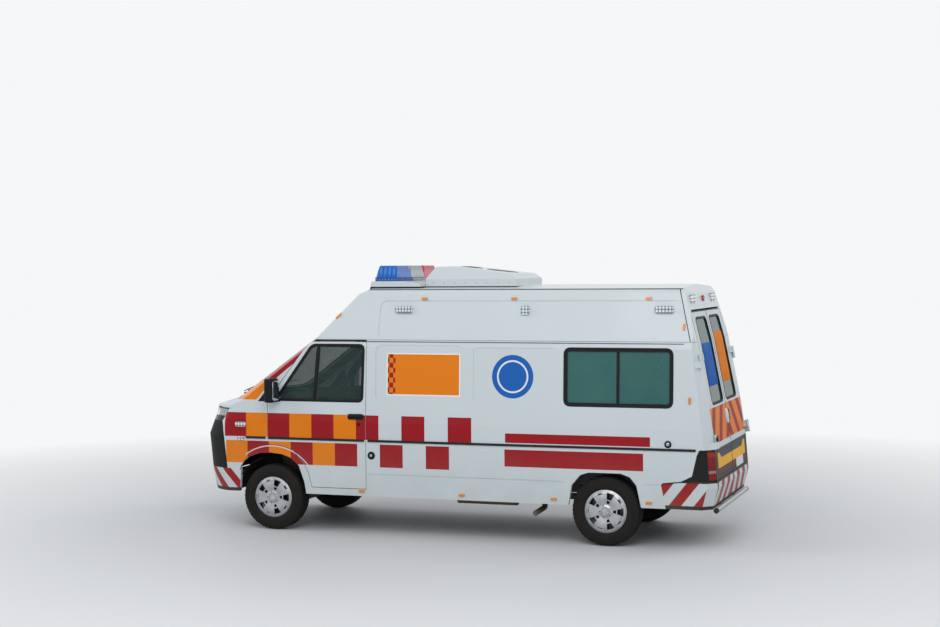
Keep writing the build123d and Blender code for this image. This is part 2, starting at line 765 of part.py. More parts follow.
# Knuckles turn on the kingpins of the front axle beam and carry the front spindles
kingpin_y = 680
kingpin_radius = 16
ear_gap = 5
boss_low = hub_z - 56
boss_high = hub_z + 58
boss_radius = 34
ear_thickness = 35
upright_y = 720
upright_thickness = 18
with BuildPart() as left_knuckle:
    for ear_low in (boss_low - ear_gap - ear_thickness, boss_high + ear_gap):
        with BuildSketch(plan_plane(ear_low)):
            with Locations((0, kingpin_y)):
                SlotOverall(90, 70, rotation=90)
            with Locations((0, (kingpin_y + upright_y) / 2 + upright_thickness / 2)):
                Rectangle(70, upright_y - kingpin_y + upright_thickness)
            with Locations((0, kingpin_y)):
                Circle(kingpin_radius + bearing_clearance, mode=Mode.SUBTRACT)
        extrude(amount=ear_thickness)
    with BuildSketch(side_plane.offset(-upright_y)):
        with Locations((0, hub_z)):
            RectangleRounded(96, boss_high - boss_low + 2 * (ear_gap + ear_thickness), 20)
    extrude(amount=-upright_thickness)
    with BuildSketch(side_plane.offset(-upright_y)):
        with Locations((0, hub_z)):
            Circle(spindle_radius)
    extrude(amount=-(tyre_y + spindle_end_y - upright_y))
    with BuildSketch(plan_plane(hub_z - 70)):
        with BuildLine():
            Polyline((-30, upright_y + upright_thickness), (-30, upright_y), (-150, upright_y - 70),
                     (-180, upright_y - 60), (-175, upright_y - 30), (-48, upright_y + 18), close=True)
        make_face()
    extrude(amount=24)
left_knuckle.part.label = "left_knuckle"
export_step(left_knuckle.part, "parts/left_knuckle.step")
with BuildPart() as right_knuckle:
    mirror(left_knuckle.part, about=Plane.XZ)
right_knuckle.part.label = "right_knuckle"
export_step(right_knuckle.part, "parts/right_knuckle.step")

# Front axle: dropped beam with a kingpin through a boss at each end
rail_y = 370
rail_width = 60
rail_bottom = 460
rail_wall = 8
spring_width = 60
spring_thickness = 36
beam_top = 305
with BuildPart() as front_axle:
    beam_half = [(kingpin_y, boss_high), (590, boss_high), (460, beam_top)]
    beam_low = [(480, beam_top - 90), (600, boss_low), (kingpin_y, boss_low)]
    with BuildSketch(cross_plane.offset(-30)):
        with BuildLine():
            Polyline(*beam_half, *[(-y, z) for y, z in reversed(beam_half)],
                     *[(-y, z) for y, z in reversed(beam_low)], *beam_low, close=True)
        make_face()
    extrude(amount=60)
    for side in (1, -1):
        with BuildSketch(plan_plane(boss_low)):
            with Locations((0, side * kingpin_y)):
                Circle(boss_radius)
        extrude(amount=boss_high - boss_low)
        with BuildSketch(plan_plane(boss_low - ear_gap - ear_thickness)):
            with Locations((0, side * kingpin_y)):
                Circle(kingpin_radius)
        extrude(amount=boss_high - boss_low + 2 * (ear_gap + ear_thickness))
front_axle.part.label = "front_axle"
export_step(front_axle.part, "parts/front_axle.step")

# Rear axle: tube, differential, spindles and propeller shaft
axle_tube_radius = 45
shaft_radius = 35
gearbox_end_x = -450
gearbox_z = 430
with BuildPart() as rear_axle:
    with BuildSketch(side_plane.offset(tyre_y + hub_inner_y - 14)):
        with Locations((rear, hub_z)):
            Circle(axle_tube_radius)
    extrude(amount=-2 * (tyre_y + hub_inner_y - 14))
    with BuildSketch(side_plane.offset(tyre_y + spindle_end_y)):
        with Locations((rear, hub_z)):
            Circle(spindle_radius)
    extrude(amount=-2 * (tyre_y + spindle_end_y))
    with BuildSketch(side_plane.offset(75)):
        with Locations((rear, hub_z)):
            Circle(135)
    extrude(amount=-150)
    with BuildSketch(side_plane):
        with BuildLine():
            Polyline((rear, hub_z + 60), (rear, hub_z - 60), (rear + 210, hub_z - 35),
                     (rear + 210, hub_z + 35), close=True)
        make_face()
    extrude(amount=60, both=True)
    shaft_start = Vector(front_axle_x + rear + 205, 0, hub_z)
    shaft_end = Vector(front_axle_x + gearbox_end_x, 0, gearbox_z)
    with BuildSketch(Plane(origin=shaft_start, z_dir=shaft_end - shaft_start)):
        Circle(shaft_radius)
    extrude(amount=(shaft_end - shaft_start).length - 1)
rear_axle.part.label = "rear_axle"
export_step(rear_axle.part, "parts/rear_axle.step")

# Leaf springs under the rails: one bow a side on each axle, hung from brackets
front_bow = ((-560, rail_bottom - 45), (0, beam_top + spring_thickness), (560, rail_bottom - 45))
rear_seat = hub_z + axle_tube_radius
rear_bow = ((rear - 620, rail_bottom - 20), (rear, rear_seat + spring_thickness),
            (rear + 620, rail_bottom - 20))
with BuildPart() as leaf_springs:
    for bow in (front_bow, rear_bow):
        (x1, z1), (x2, z2), (x3, z3) = bow
        with BuildSketch(side_plane.offset(-(rail_y - spring_width / 2))):
            with BuildLine():
                ThreePointArc((x1, z1), (x2, z2), (x3, z3))
                Line((x3, z3), (x3, z3 - spring_thickness))
                ThreePointArc((x3, z3 - spring_thickness), (x2, z2 - spring_thickness),
                              (x1, z1 - spring_thickness))
                Line((x1, z1 - spring_thickness), (x1, z1))
            make_face()
        extrude(amount=-spring_width)
        for end_x in (x1, x3):
            inward = 40 if end_x == x1 else -40
            with BuildSketch(side_plane.offset(-(rail_y - spring_width / 2))):
                with BuildLine():
                    Polyline((end_x, z1 - spring_thickness + 5), (end_x, rail_bottom),
                             (end_x + inward, rail_bottom), (end_x + inward, z1 - spring_thickness + 5),
                             close=True)
                make_face()
            extrude(amount=-spring_width)
    mirror(leaf_springs.part, about=Plane.XZ)
leaf_springs.part.label = "leaf_springs"
export_step(leaf_springs.part, "parts/leaf_springs.step")

# Chassis frame: two channel rails and their cross members
rail_top = floor_bottom
rail_front = 760
rail_rear = rear - 1000
cross_members = (700, -620, -1500, -2500, rear + 420, rear - 400, rear - 950)
tow_eye_radius = 18
tow_eye_thickness = 20
with BuildPart() as chassis_frame:
    with BuildSketch(cross_plane.offset(rail_rear)):
        for side in (1, -1):
            with Locations((side * rail_y, (rail_bottom + rail_top) / 2)):
                Rectangle(rail_width, rail_top - rail_bottom)
            with Locations((side * (rail_y - rail_wall), (rail_bottom + rail_top) / 2)):
                Rectangle(rail_width, rail_top - rail_bottom - 2 * rail_wall, mode=Mode.SUBTRACT)
    extrude(amount=rail_front - rail_rear)
    for member_x in cross_members:
        with BuildSketch(plan_plane(rail_top - 70)):
            with Locations((member_x, 0)):
                Rectangle(60, 2 * (rail_y + rail_width / 2 - rail_wall))
        extrude(amount=60)
    for eye_x, eye_y in ((rail_front - 40, rail_y), (rail_rear + 160, rail_y)):
        with BuildSketch(side_plane.offset(-eye_y + tow_eye_thickness / 2)):
            with Locations((eye_x, (rail_bottom + 330) / 2)):
                RectangleRounded(70, rail_bottom - 330, 20)
            with Locations((eye_x, rail_bottom - 15)):
                Rectangle(70, 30)
            with Locations((eye_x, 370)):
                Circle(tow_eye_radius, mode=Mode.SUBTRACT)
        extrude(amount=-tow_eye_thickness)
chassis_frame.part.label = "chassis_frame"
export_step(chassis_frame.part, "parts/chassis_frame.step")

# Engine and gearbox as one block on two bearers
with BuildPart() as engine:
    with BuildSketch(plan_plane(490)):
        with Locations((400, 0)):
            RectangleRounded(480, 480, 40)
    extrude(amount=510)
    with BuildSketch(cross_plane.offset(gearbox_end_x)):
        with Locations((0, gearbox_z)):
            Circle(105)
    extrude(amount=170 - gearbox_end_x)
    with BuildSketch(plan_plane(400)):
        with Locations((400, 0)):
            RectangleRounded(400, 300, 30)
    extrude(amount=91)
    with BuildSketch(plan_plane(500)):
        with Locations((420, 0)):
            Rectangle(80, 2 * (rail_y + rail_width / 2 - rail_wall))
    extrude(amount=40)
engine.part.label = "engine"
export_step(engine.part, "parts/engine.step")

# Floor pan: load floor with rear wheel boxes, cab floor between the front wheel boxes, bulkhead
lining_gap = 6
inner_half = half_width - body_wall
cab_half = inner_half - lining_gap
wheel_box_y = 640
wheel_box_wall = 10
front_box_y = 462
dash_half = 885
front_box_top = 885
bulkhead_x = 120
bulkhead_top = 1330
rear_box = side_sketch([
    (rear + 410, floor_bottom), (rear + 358, 610), (rear + 265, 725), (rear + 170, 758),
    (rear - 180, 758), (rear - 280, 720), (rear - 345, 640), (rear - 415, floor_bottom),
])
rear_box_inside = side_sketch([
    (rear + 399, floor_bottom - 50), (rear + 347, 608), (rear + 257, 716), (rear + 168, 748),
    (rear - 177, 748), (rear - 272, 712), (rear - 335, 636), (rear - 404, floor_bottom - 50),
])
with BuildPart() as floor_pan:
    with BuildSketch(plan_plane(floor_bottom)):
        with Locations(((rail_rear + 20 + door_rear_x - 20) / 2, 0)):
            Rectangle(door_rear_x - 20 - rail_rear - 20, 2 * inner_half)
        with Locations(((door_rear_x - 20 - 490) / 2, 0)):
            Rectangle(-490 - door_rear_x + 20, 2 * cab_half)
        with Locations(((bulkhead_x - 490) / 2, 0)):
            Rectangle(bulkhead_x + 490, 2 * front_box_y)
    extrude(amount=floor_thickness)
    for side in (1, -1):
        extrude(rear_box.moved(Location((0, side * wheel_box_y, 0))),
                amount=side * (wheel_box_y - inner_half))
    for side in (1, -1):
        extrude(rear_box_inside.moved(Location((0, side * (wheel_box_y + wheel_box_wall), 0))),
                amount=-side * 400, mode=Mode.SUBTRACT)
        with BuildSketch(side_plane.offset(-side * front_box_y)):
            with BuildLine():
                Polyline((bulkhead_x, floor_bottom), (bulkhead_x, front_box_top),
                         (-500, front_box_top), (-500, floor_bottom), close=True)
            make_face()
        extrude(amount=-side * (cab_half - front_box_y))
    with BuildSketch(cross_plane.offset(bulkhead_x)):
        with Locations((0, (floor_bottom + bulkhead_top) / 2)):
            Rectangle(2 * dash_half, bulkhead_top - floor_bottom)
    extrude(amount=20)
    for side in (1, -1):
        with BuildSketch(side_plane.offset(-side * (front_box_y + wheel_box_wall))):
            with BuildLine():
                Polyline((bulkhead_x + 50, floor_bottom - 50),
                         (bulkhead_x + 50, front_box_top - wheel_box_wall),
                         (wheel_box_wall - 500, front_box_top - wheel_box_wall),
                         (wheel_box_wall - 500, floor_bottom - 50), close=True)
            make_face()
        extrude(amount=-side * 500, mode=Mode.SUBTRACT)
    with BuildSketch(cross_plane.offset(bulkhead_x - 1)):
        with Locations((0, gearbox_z)):
            Circle(105 + running_gap)
    extrude(amount=30, mode=Mode.SUBTRACT)
floor_pan.part.label = "floor_pan"
export_step(floor_pan.part, "parts/floor_pan.step")

# Exhaust: pipe from the engine, silencer left of the rail, tail pipe out ahead of the rear wheel
pipe_radius = 24
silencer_radius = 85
silencer_y = 520
silencer_z = 400
silencer_front = -2000
silencer_rear = -2650
with BuildPart() as exhaust:
    with BuildSketch(cross_plane.offset(silencer_rear)):
        with Locations((silencer_y, silencer_z)):
            Circle(silencer_radius)
    extrude(amount=silencer_front - silencer_rear)
    with BuildLine() as front_pipe:
        FilletPolyline(
            (front_axle_x + 170, 200, 440), (front_axle_x - 300, 200, 405),
            (front_axle_x - 950, 200, 400), (front_axle_x - 1350, silencer_y, silencer_z),
            (front_axle_x + silencer_front - 20, silencer_y, silencer_z), radius=140)
    with BuildSketch(Plane(origin=front_pipe.line @ 0, z_dir=front_pipe.line % 0)):
        Circle(pipe_radius)
    sweep(path=front_pipe.line)
    with BuildLine() as tail_pipe:
        FilletPolyline(
            (front_axle_x + silencer_rear + 20, silencer_y, silencer_z),
            (front_axle_x - 2950, silencer_y, 380), (front_axle_x - 3010, 720, 340),
            (front_axle_x - 2960, 900, 300), radius=90)
    with BuildSketch(Plane(origin=tail_pipe.line @ 0, z_dir=tail_pipe.line % 0)):
        Circle(pipe_radius + 4)
    sweep(path=tail_pipe.line)
    for hanger_x in (silencer_front - 80, silencer_rear + 80):
        with BuildSketch(cross_plane.offset(hanger_x)):
            with Locations((silencer_y, (silencer_z + floor_bottom) / 2 + 30)):
                Rectangle(24, floor_bottom - silencer_z - 60)
        extrude(amount=20)
exhaust.part.label = "exhaust"
export_step(exhaust.part, "parts/exhaust.step")

# Fuel tank right of the right rail, strapped up to the floor
with BuildPart() as fuel_tank:
    with BuildSketch(cross_plane.offset(-2500)):
        with Locations((-640, 440)):
            RectangleRounded(400, 220, 60)
    extrude(amount=800)
    for strap_x in (-2400, -1850):
        with BuildSketch(cross_plane.offset(strap_x)):
            with Locations((-460, 545), (-820, 545)):
                Rectangle(30, 70)
        extrude(amount=40)
        with BuildSketch(cross_plane.offset(strap_x)):
            with Locations((-640, 440)):
                RectangleRounded(408, 228, 64)
                RectangleRounded(400, 220, 60, mode=Mode.SUBTRACT)
        extrude(amount=40)
fuel_tank.part.label = "fuel_tank"
export_step(fuel_tank.part, "parts/fuel_tank.step")

# Dashboard across the cab with the steering column on the right
column_y = -430
column_angle = 40
column_radius = 20
steering_centre = (-335, 1175)
steering_radius = 195
hub_depth = 60
column_run = Vector(-math.cos(math.radians(column_angle)), 0, math.sin(math.radians(column_angle)))
wheel_origin = Vector(front_axle_x + steering_centre[0], column_y, steering_centre[1])
with BuildPart() as dashboard:
    with BuildSketch(side_plane.offset(dash_half)):
        with BuildLine():
            Polyline((bulkhead_x, 960), (-60, 960), (-140, 1060), (-150, 1290), (-110, 1365),
                     (-20, cowl_height - 25), (240, cowl_height - 25), (240, bulkhead_top),
                     (bulkhead_x, bulkhead_top), close=True)
        make_face()
    extrude(amount=-2 * dash_half)
    with BuildSketch(plan_plane(cowl_height - 40)):
        with BuildLine():
            cowl_edge = [(240, dash_half - 10), (380, 830), (495, 690), (590, 0)]
            Polyline(*cowl_edge, *[(x, -y) for x, y in reversed(cowl_edge[:-1])], close=True)
        make_face()
    extrude(amount=15)
    with BuildSketch(Plane(origin=wheel_origin - column_run * (hub_depth + 190), z_dir=column_run)):
        Circle(38)
    extrude(amount=180)
    with BuildSketch(Plane(origin=wheel_origin - column_run * (hub_depth + 190), z_dir=column_run)):
        Circle(column_radius)
    extrude(amount=190 + hub_depth / 2)
dashboard.part.label = "dashboard"
export_step(dashboard.part, "parts/dashboard.step")

wheel_plane = Plane(origin=wheel_origin, x_dir=(0, 1, 0), z_dir=column_run)
with BuildPart() as steering_wheel:
    with BuildSketch(Plane(origin=wheel_origin, x_dir=(0, 1, 0), z_dir=wheel_plane.y_dir)):
        with Locations((steering_radius, 0)):
            Circle(15)
    revolve(axis=Axis(wheel_origin, column_run))
    with BuildSketch(wheel_plane.offset(-hub_depth)):
        Circle(42)
        Circle(column_radius + bearing_clearance, mode=Mode.SUBTRACT)
    extrude(amount=hub_depth / 2 + 2)
    with BuildSketch(wheel_plane.offset(2 - hub_depth / 2)):
        Circle(55)
    extrude(amount=22)
    with BuildSketch(wheel_plane.offset(-12)):
        with PolarLocations(120, 3, start_angle=90):
            Rectangle(150, 32)
    extrude(amount=14)
steering_wheel.part.label = "steering_wheel"
export_step(steering_wheel.part, "parts/steering_wheel.step")

# Cab seats: steel pedestals with soft cushions, backs and head rests
seat_y = 430
seat_width = 480
cushion_front = -560
cushion_rear = -1060
cushion_low = 880
cushion_high = 1005
seat_bend_z = 1300
seat_back_top = 1600
head_rest_top = 1780
head_rest_half = 130
soft_gap = 0.3
with BuildPart() as cab_seat_frames:
    for side in (1, -1):
        with BuildSketch(side_plane.offset(-side * seat_y + 200)):
            with BuildLine():
                Polyline((-600, floor_top), (-640, cushion_low), (-1106, cushion_low),
                         (-1114, 1040), (-1134, 1040), (-1126, cushion_low - 30),
                         (-1040, floor_top), close=True)
            make_face()
        extrude(amount=-400)
cab_seat_frames.part.label = "cab_seat_frames"
export_step(cab_seat_frames.part, "parts/cab_seat_frames.step")

with BuildPart() as cab_seat_cushions:
    for side in (1, -1):
        for low_half, outline in (
            (seat_width / 2, ((cushion_front, cushion_low + soft_gap), (cushion_front - 10, cushion_high),
                              (cushion_rear + 60, cushion_high - 20),
                              (cushion_rear + 60, cushion_low + soft_gap))),
            (seat_width / 2, ((cushion_rear + 50, cushion_low + soft_gap), (cushion_rear + 40, seat_bend_z),
                              (cushion_rear - 25, seat_back_top), (cushion_rear - 90, seat_back_top),
                              (cushion_rear - 66, seat_bend_z),
                              (cushion_rear - 45, cushion_low + soft_gap))),
            (head_rest_half, ((cushion_rear - 30, seat_back_top + soft_gap),
                              (cushion_rear - 35, head_rest_top), (cushion_rear - 100, head_rest_top),
                              (cushion_rear - 95, seat_back_top + soft_gap))),
        ):
            with BuildSketch(side_plane.offset(-side * seat_y + low_half)):
                with BuildLine():
                    Polyline(*outline, close=True)
                make_face()
            extrude(amount=-2 * low_half)
cab_seat_cushions.part.label = "cab_seat_cushions"
export_step(cab_seat_cushions.part, "parts/cab_seat_cushions.step")

# Partition behind the cab, cut to the inside of the body, with a window
partition_x = -1205
partition_thickness = 25
with BuildPart() as partition_wall:
    add(inner_form)
    with BuildSketch(cross_plane.offset(partition_x)):
        with Locations((0, floor_top + 1500)):
            Rectangle(far * 2, 3000)
    extrude(amount=partition_thickness, mode=Mode.INTERSECT)
    with BuildSketch(cross_plane.offset(partition_x - 10)):
        with Locations((0, 1650)):
            RectangleRounded(700, 420, 50)
    extrude(amount=partition_thickness + 20, mode=Mode.SUBTRACT)
partition_wall.part.label = "partition_wall"
export_step(partition_wall.part, "parts/partition_wall.step")

# Patient compartment: stretcher on the right, bench on the left, cabinet behind the partition
stretcher_y = -320
stretcher_half = 270
stretcher_rear = rear - 560
stretcher_front = rear + 1390
stretcher_top = 1060
castor_radius = 70
stretcher_base = floor_top + 2 * castor_radius + 12
with BuildPart() as stretcher:
    with BuildSketch(plan_plane(stretcher_top - 35)):
        with Locations(((stretcher_front + stretcher_rear) / 2, stretcher_y)):
            RectangleRounded(stretcher_front - stretcher_rear, 2 * stretcher_half, 90)
            RectangleRounded(stretcher_front - stretcher_rear - 70, 2 * stretcher_half - 110, 60,
                             mode=Mode.SUBTRACT)
        with Locations(((stretcher_front + stretcher_rear) / 2, stretcher_y)):
            with GridLocations(400, 0, 4, 1):
                Rectangle(40, 2 * stretcher_half - 20)
    extrude(amount=35)
    with BuildSketch(plan_plane(stretcher_base)):
        with Locations(((stretcher_front + stretcher_rear) / 2, stretcher_y)):
            Rectangle(1300, 2 * stretcher_half - 60)
            Rectangle(1230, 2 * stretcher_half - 130, mode=Mode.SUBTRACT)
    extrude(amount=35)
    middle = (stretcher_front + stretcher_rear) / 2
    leg_low = stretcher_base + 20
    for lean in (1, -1):
        for leg_y in (stretcher_y - stretcher_half + 62, stretcher_y + stretcher_half - 32):
            with BuildSketch(side_plane.offset(-leg_y)):
                with BuildLine():
                    Polyline((middle - lean * 600, leg_low), (middle + lean * 560, stretcher_top - 30),
                             (middle + lean * 600, stretcher_top - 30), (middle - lean * 560, leg_low),
                             close=True)
                make_face()
            extrude(amount=30)
    for castor_x in (middle - 600, middle + 600):
        for castor_y in (stretcher_y - stretcher_half + 60, stretcher_y + stretcher_half - 60):
            with BuildSketch(side_plane.offset(-castor_y - 15)):
                with Locations((castor_x, floor_top + castor_radius)):
                    Circle(castor_radius)
            extrude(amount=30)
            with BuildSketch(plan_plane(floor_top + castor_radius)):
                with Locations((castor_x, castor_y)):
                    Rectangle(50, 30)
            extrude(amount=stretcher_base + 15 - floor_top - castor_radius)
stretcher.part.label = "stretcher"
export_step(stretcher.part, "parts/stretcher.step")

mattress_thickness = 80
bench_rear = rear - 560
bench_front = rear + 1300
bench_inner_y = 480
bench_top = 1040
with BuildPart() as patient_cushions:
    with BuildSketch(plan_plane(stretcher_top + soft_gap)):
        with Locations((middle, stretcher_y)):
            RectangleRounded(stretcher_front - stretcher_rear - 20, 2 * stretcher_half - 20, 80)
    extrude(amount=mattress_thickness)
    with BuildSketch(plan_plane(bench_top + soft_gap)):
        with Locations(((bench_front + bench_rear) / 2, (bench_inner_y + inner_half) / 2 - 5)):
            RectangleRounded(bench_front - bench_rear - 20, inner_half - bench_inner_y - 20, 40)
    extrude(amount=70)
patient_cushions.part.label = "patient_cushions"
export_step(patient_cushions.part, "parts/patient_cushions.step")

cabinet_depth = 400
cabinet_length = 560
cabinet_top = 1880
with BuildPart() as cabinets:
    with BuildSketch(side_plane.offset(-bench_inner_y)):
        with BuildLine():
            Polyline((bench_front, floor_top), (bench_front, bench_top), (bench_rear, bench_top),
                     (bench_rear, 762), (rear + 420, 762), (rear + 420, floor_top), close=True)
        make_face()
    extrude(amount=-(inner_half - bench_inner_y - 2))
    with BuildSketch(side_plane.offset(inner_half - 45)):
        with Locations((partition_x - cabinet_length / 2, (floor_top + cabinet_top) / 2)):
            Rectangle(cabinet_length, cabinet_top - floor_top)
    extrude(amount=-cabinet_depth)
    with BuildSketch(side_plane.offset(inner_half - 65)):
        with GridLocations(0, 300, 1, 4):
            with Locations((partition_x - cabinet_length / 2, (floor_top + cabinet_top) / 2)):
                Rectangle(cabinet_length - 40, 280)
    extrude(amount=-cabinet_depth, mode=Mode.SUBTRACT)
cabinets.part.label = "cabinets"
export_step(cabinets.part, "parts/cabinets.step")

# On the roof: plinth and light bar in front, air conditioner behind, all bedded on the roof skin
plinth_front = -994
plinth_rear = -1613
plinth_top = 2671
bar_front = -1065
bar_rear = -1389
bar_half = 610
with BuildPart() as light_bar_plinth:
    with BuildSketch(side_plane.offset(bar_half + 10)):
        with BuildLine():
            Polyline((plinth_front - 30, 2500), (plinth_front - 60, plinth_top),
                     (bar_rear - 40, plinth_top), (plinth_rear, plinth_top - 30),
                     (plinth_rear, 2500), close=True)
        make_face()
    extrude(amount=-2 * (bar_half + 10))
    add(outer_form, mode=Mode.SUBTRACT)
light_bar_plinth.part.label = "light_bar_plinth"
export_step(light_bar_plinth.part, "parts/light_bar_plinth.step")

# Light bar: a lens tray along its foot and three bevelled domes, parted by grooves
bar_depth = 284
tray_top = 2712
dome_top = 2838
dome_groove = 8
dome_taper = 17
dome_count = 3
dome_pitch = (2 * bar_half - 20) / dome_count
with BuildPart() as light_bar:
    with BuildSketch(plan_plane(plinth_top)):
        with Locations(((bar_front + bar_rear) / 2, 0)):
            RectangleRounded(bar_depth, 2 * bar_half, 30)
    extrude(amount=tray_top - plinth_top)
    with BuildSketch(plan_plane(tray_top)):
        with Locations(((bar_front + bar_rear) / 2, 0)):
            with GridLocations(0, dome_pitch, 1, dome_count):
                RectangleRounded(bar_depth - 16, dome_pitch - dome_groove, 24)
    extrude(amount=dome_top - tray_top, taper=dome_taper)
    fillet(light_bar.edges().group_by(Axis.Z)[-1], 14)
light_bar.part.label = "light_bar"
export_step(light_bar.part, "parts/light_bar.step")

ac_half = 450
fan_floor = 2740
fan_radius = 170
fan_rings = (140, 105, 70, 35)
fan_bar = 8
fan_places = (-1930, -2330)
with BuildPart() as roof_air_conditioner:
    with BuildSketch(side_plane.offset(ac_half)):
        with BuildLine():
            Polyline((plinth_rear - 2, 2500), (plinth_rear - 2, 2700), (-1690, 2820), (-1895, 2825),
                     (-2560, 2745), (-2635, 2690), (-2635, 2500), close=True)
        make_face()
    extrude(amount=-2 * ac_half)
    with BuildSketch(cross_plane.offset(-2700)):
        with BuildLine():
            Polyline((-ac_half, 2500), (-ac_half, 2690), (-ac_half + 130, 2840), (ac_half - 130, 2840),
                     (ac_half, 2690), (ac_half, 2500), close=True)
        make_face()
    extrude(amount=1200, mode=Mode.INTERSECT)
    add(outer_form, mode=Mode.SUBTRACT)
    with BuildSketch(plan_plane(fan_floor)):
        for fan_x in fan_places:
            with Locations((fan_x, 0)):
                Circle(fan_radius)
                for ring_radius in fan_rings:
                    Circle(ring_radius, mode=Mode.SUBTRACT)
                    Circle(ring_radius - fan_bar, mode=Mode.ADD)
                with PolarLocations(0, 3):
                    Rectangle(2 * fan_radius, fan_bar, mode=Mode.SUBTRACT)
    extrude(amount=200, mode=Mode.SUBTRACT)
roof_air_conditioner.part.label = "roof_air_conditioner"
export_step(roof_air_conditioner.part, "parts/roof_air_conditioner.step")

# Lamps on the sides and rear of the high roof
roof_side_lamps = (
    # ahead of the front axle, height, length, height of the lamp
    (-1502, 2377, 190, 66), (-2839, 2368, 90, 90), (-4289, 2380, 190, 66),
)
rear_fascia_lamps = (
    # to the left, radius
    (560, 46), (450, 46), (0, 30),
)
fascia_z = 2475
fascia_back = 828
lamp_start_y = 740
lamp_reach = 80
with BuildPart() as fascia_lamps:
    for fascia_y, fascia_radius in rear_fascia_lamps:
        with BuildSketch(cross_plane.offset(rear - fascia_back)):
            with Locations((fascia_y, fascia_z)):
                Circle(fascia_radius)
        extrude(amount=200)
    add(outer_form, mode=Mode.SUBTRACT)
with BuildPart() as roof_lamps:
    for lamp_x, lamp_z, lamp_length, lamp_height in roof_side_lamps:
        with BuildSketch(side_plane.offset(-lamp_start_y)):
            with Locations((lamp_x, lamp_z)):
                RectangleRounded(lamp_length, lamp_height, 20)
        extrude(amount=-lamp_reach)
    add(pressed_form, mode=Mode.SUBTRACT)
    add(fascia_lamps.part)
    mirror(roof_lamps.part, about=Plane.XZ)
roof_lamps.part.label = "roof_lamps"
export_step(roof_lamps.part, "parts/roof_lamps.step")

# Side markers: small lamps that stand proud along the sill and the roof's edge
side_marker_rows = (
    # front end, rear end, bottom, top
    (-1687, -1751, 2474, 2500), (-2677, -2741, 2474, 2500), (-4091, -4155, 2474, 2500),
    (-4484, -4510, 2175, 2239), (-4556, -4582, 1450, 1514), (-1030, -1094, 448, 472),
    (-2153, -2217, 448, 472), (-3143, -3207, 448, 472), (-4126, -4190, 448, 472),
)
with BuildPart() as side_markers:
    add(on_left_side(proud_layer, side_marker_rows, 6))
    mirror(side_markers.part, about=Plane.XZ)
side_markers.part.label = "side_markers"
export_step(side_markers.part, "parts/side_markers.step")

# Rear step: a round bar on two brackets from the rails
step_x = rear - 1108
step_z = 395
step_radius = 27
step_half = 840
with BuildPart() as rear_step:
    with BuildSketch(side_plane.offset(step_half)):
        with Locations((step_x, step_z)):
            Circle(step_radius)
    extrude(amount=-2 * step_half)
    for side in (1, -1):
        with BuildSketch(side_plane.offset(-side * rail_y + 10)):
            with BuildLine():
                Polyline((step_x, step_z - 10), (step_x, step_z + 10), (rail_rear + 30, step_z + 10),
                         (rail_rear + 30, rail_bottom), (rail_rear + 90, rail_bottom),
                         (rail_rear + 90, step_z - 10), close=True)
            make_face()
        extrude(amount=-20)
rear_step.part.label = "rear_step"
export_step(rear_step.part, "parts/rear_step.step")
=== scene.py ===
import math

import bmesh
import bpy
import numpy as np
from mathutils import Matrix


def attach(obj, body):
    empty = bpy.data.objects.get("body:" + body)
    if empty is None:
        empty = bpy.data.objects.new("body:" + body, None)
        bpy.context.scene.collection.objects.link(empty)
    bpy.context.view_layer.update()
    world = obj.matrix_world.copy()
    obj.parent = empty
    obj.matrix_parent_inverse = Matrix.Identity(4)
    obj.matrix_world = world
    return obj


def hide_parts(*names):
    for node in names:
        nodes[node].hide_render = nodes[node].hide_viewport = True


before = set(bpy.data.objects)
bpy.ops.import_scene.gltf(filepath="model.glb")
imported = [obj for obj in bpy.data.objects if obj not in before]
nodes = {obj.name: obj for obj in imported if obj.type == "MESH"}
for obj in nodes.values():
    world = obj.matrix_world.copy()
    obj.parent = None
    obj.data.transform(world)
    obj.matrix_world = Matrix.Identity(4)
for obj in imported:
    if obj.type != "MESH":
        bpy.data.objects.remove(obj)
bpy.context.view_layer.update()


# The view and the studio.
# The camera stands off the left rear corner at roof height, with the lens and the slight tilt of
# the photograph. A pale floor runs out into a white surround, and three soft panels light it.

camera_place = (-5.953, 16.717, 2.826)
camera_yaw, camera_pitch, camera_roll = math.radians(19.61), math.radians(1.666), math.radians(-0.475)
camera_lens = 62.45

forward = np.array([
    math.sin(camera_yaw) * math.cos(camera_pitch),
    -math.cos(camera_yaw) * math.cos(camera_pitch),
    -math.sin(camera_pitch),
])
level_right = np.array([-math.cos(camera_yaw), -math.sin(camera_yaw), 0.0])
level_up = np.cross(level_right, forward)
right = math.cos(camera_roll) * level_right + math.sin(camera_roll) * level_up
up = math.cos(camera_roll) * level_up - math.sin(camera_roll) * level_right


def stand(name, data, across, over, back, place):
    """Puts a camera or lamp in the scene, its own x, y and z along the three given directions."""
    thing = bpy.data.objects.new(name, data)
    bpy.context.scene.collection.objects.link(thing)
    turned = np.stack([across, over, back, place], 1).tolist()
    thing.matrix_world = Matrix((*turned, (0.0, 0.0, 0.0, 1.0)))
    return thing


camera = stand("camera", bpy.data.cameras.new("camera"), right, up, -forward, camera_place)
camera.data.lens = camera_lens
camera.data.clip_end = 200.0
bpy.context.scene.camera = camera
bpy.context.scene.view_settings.view_transform = "Standard"


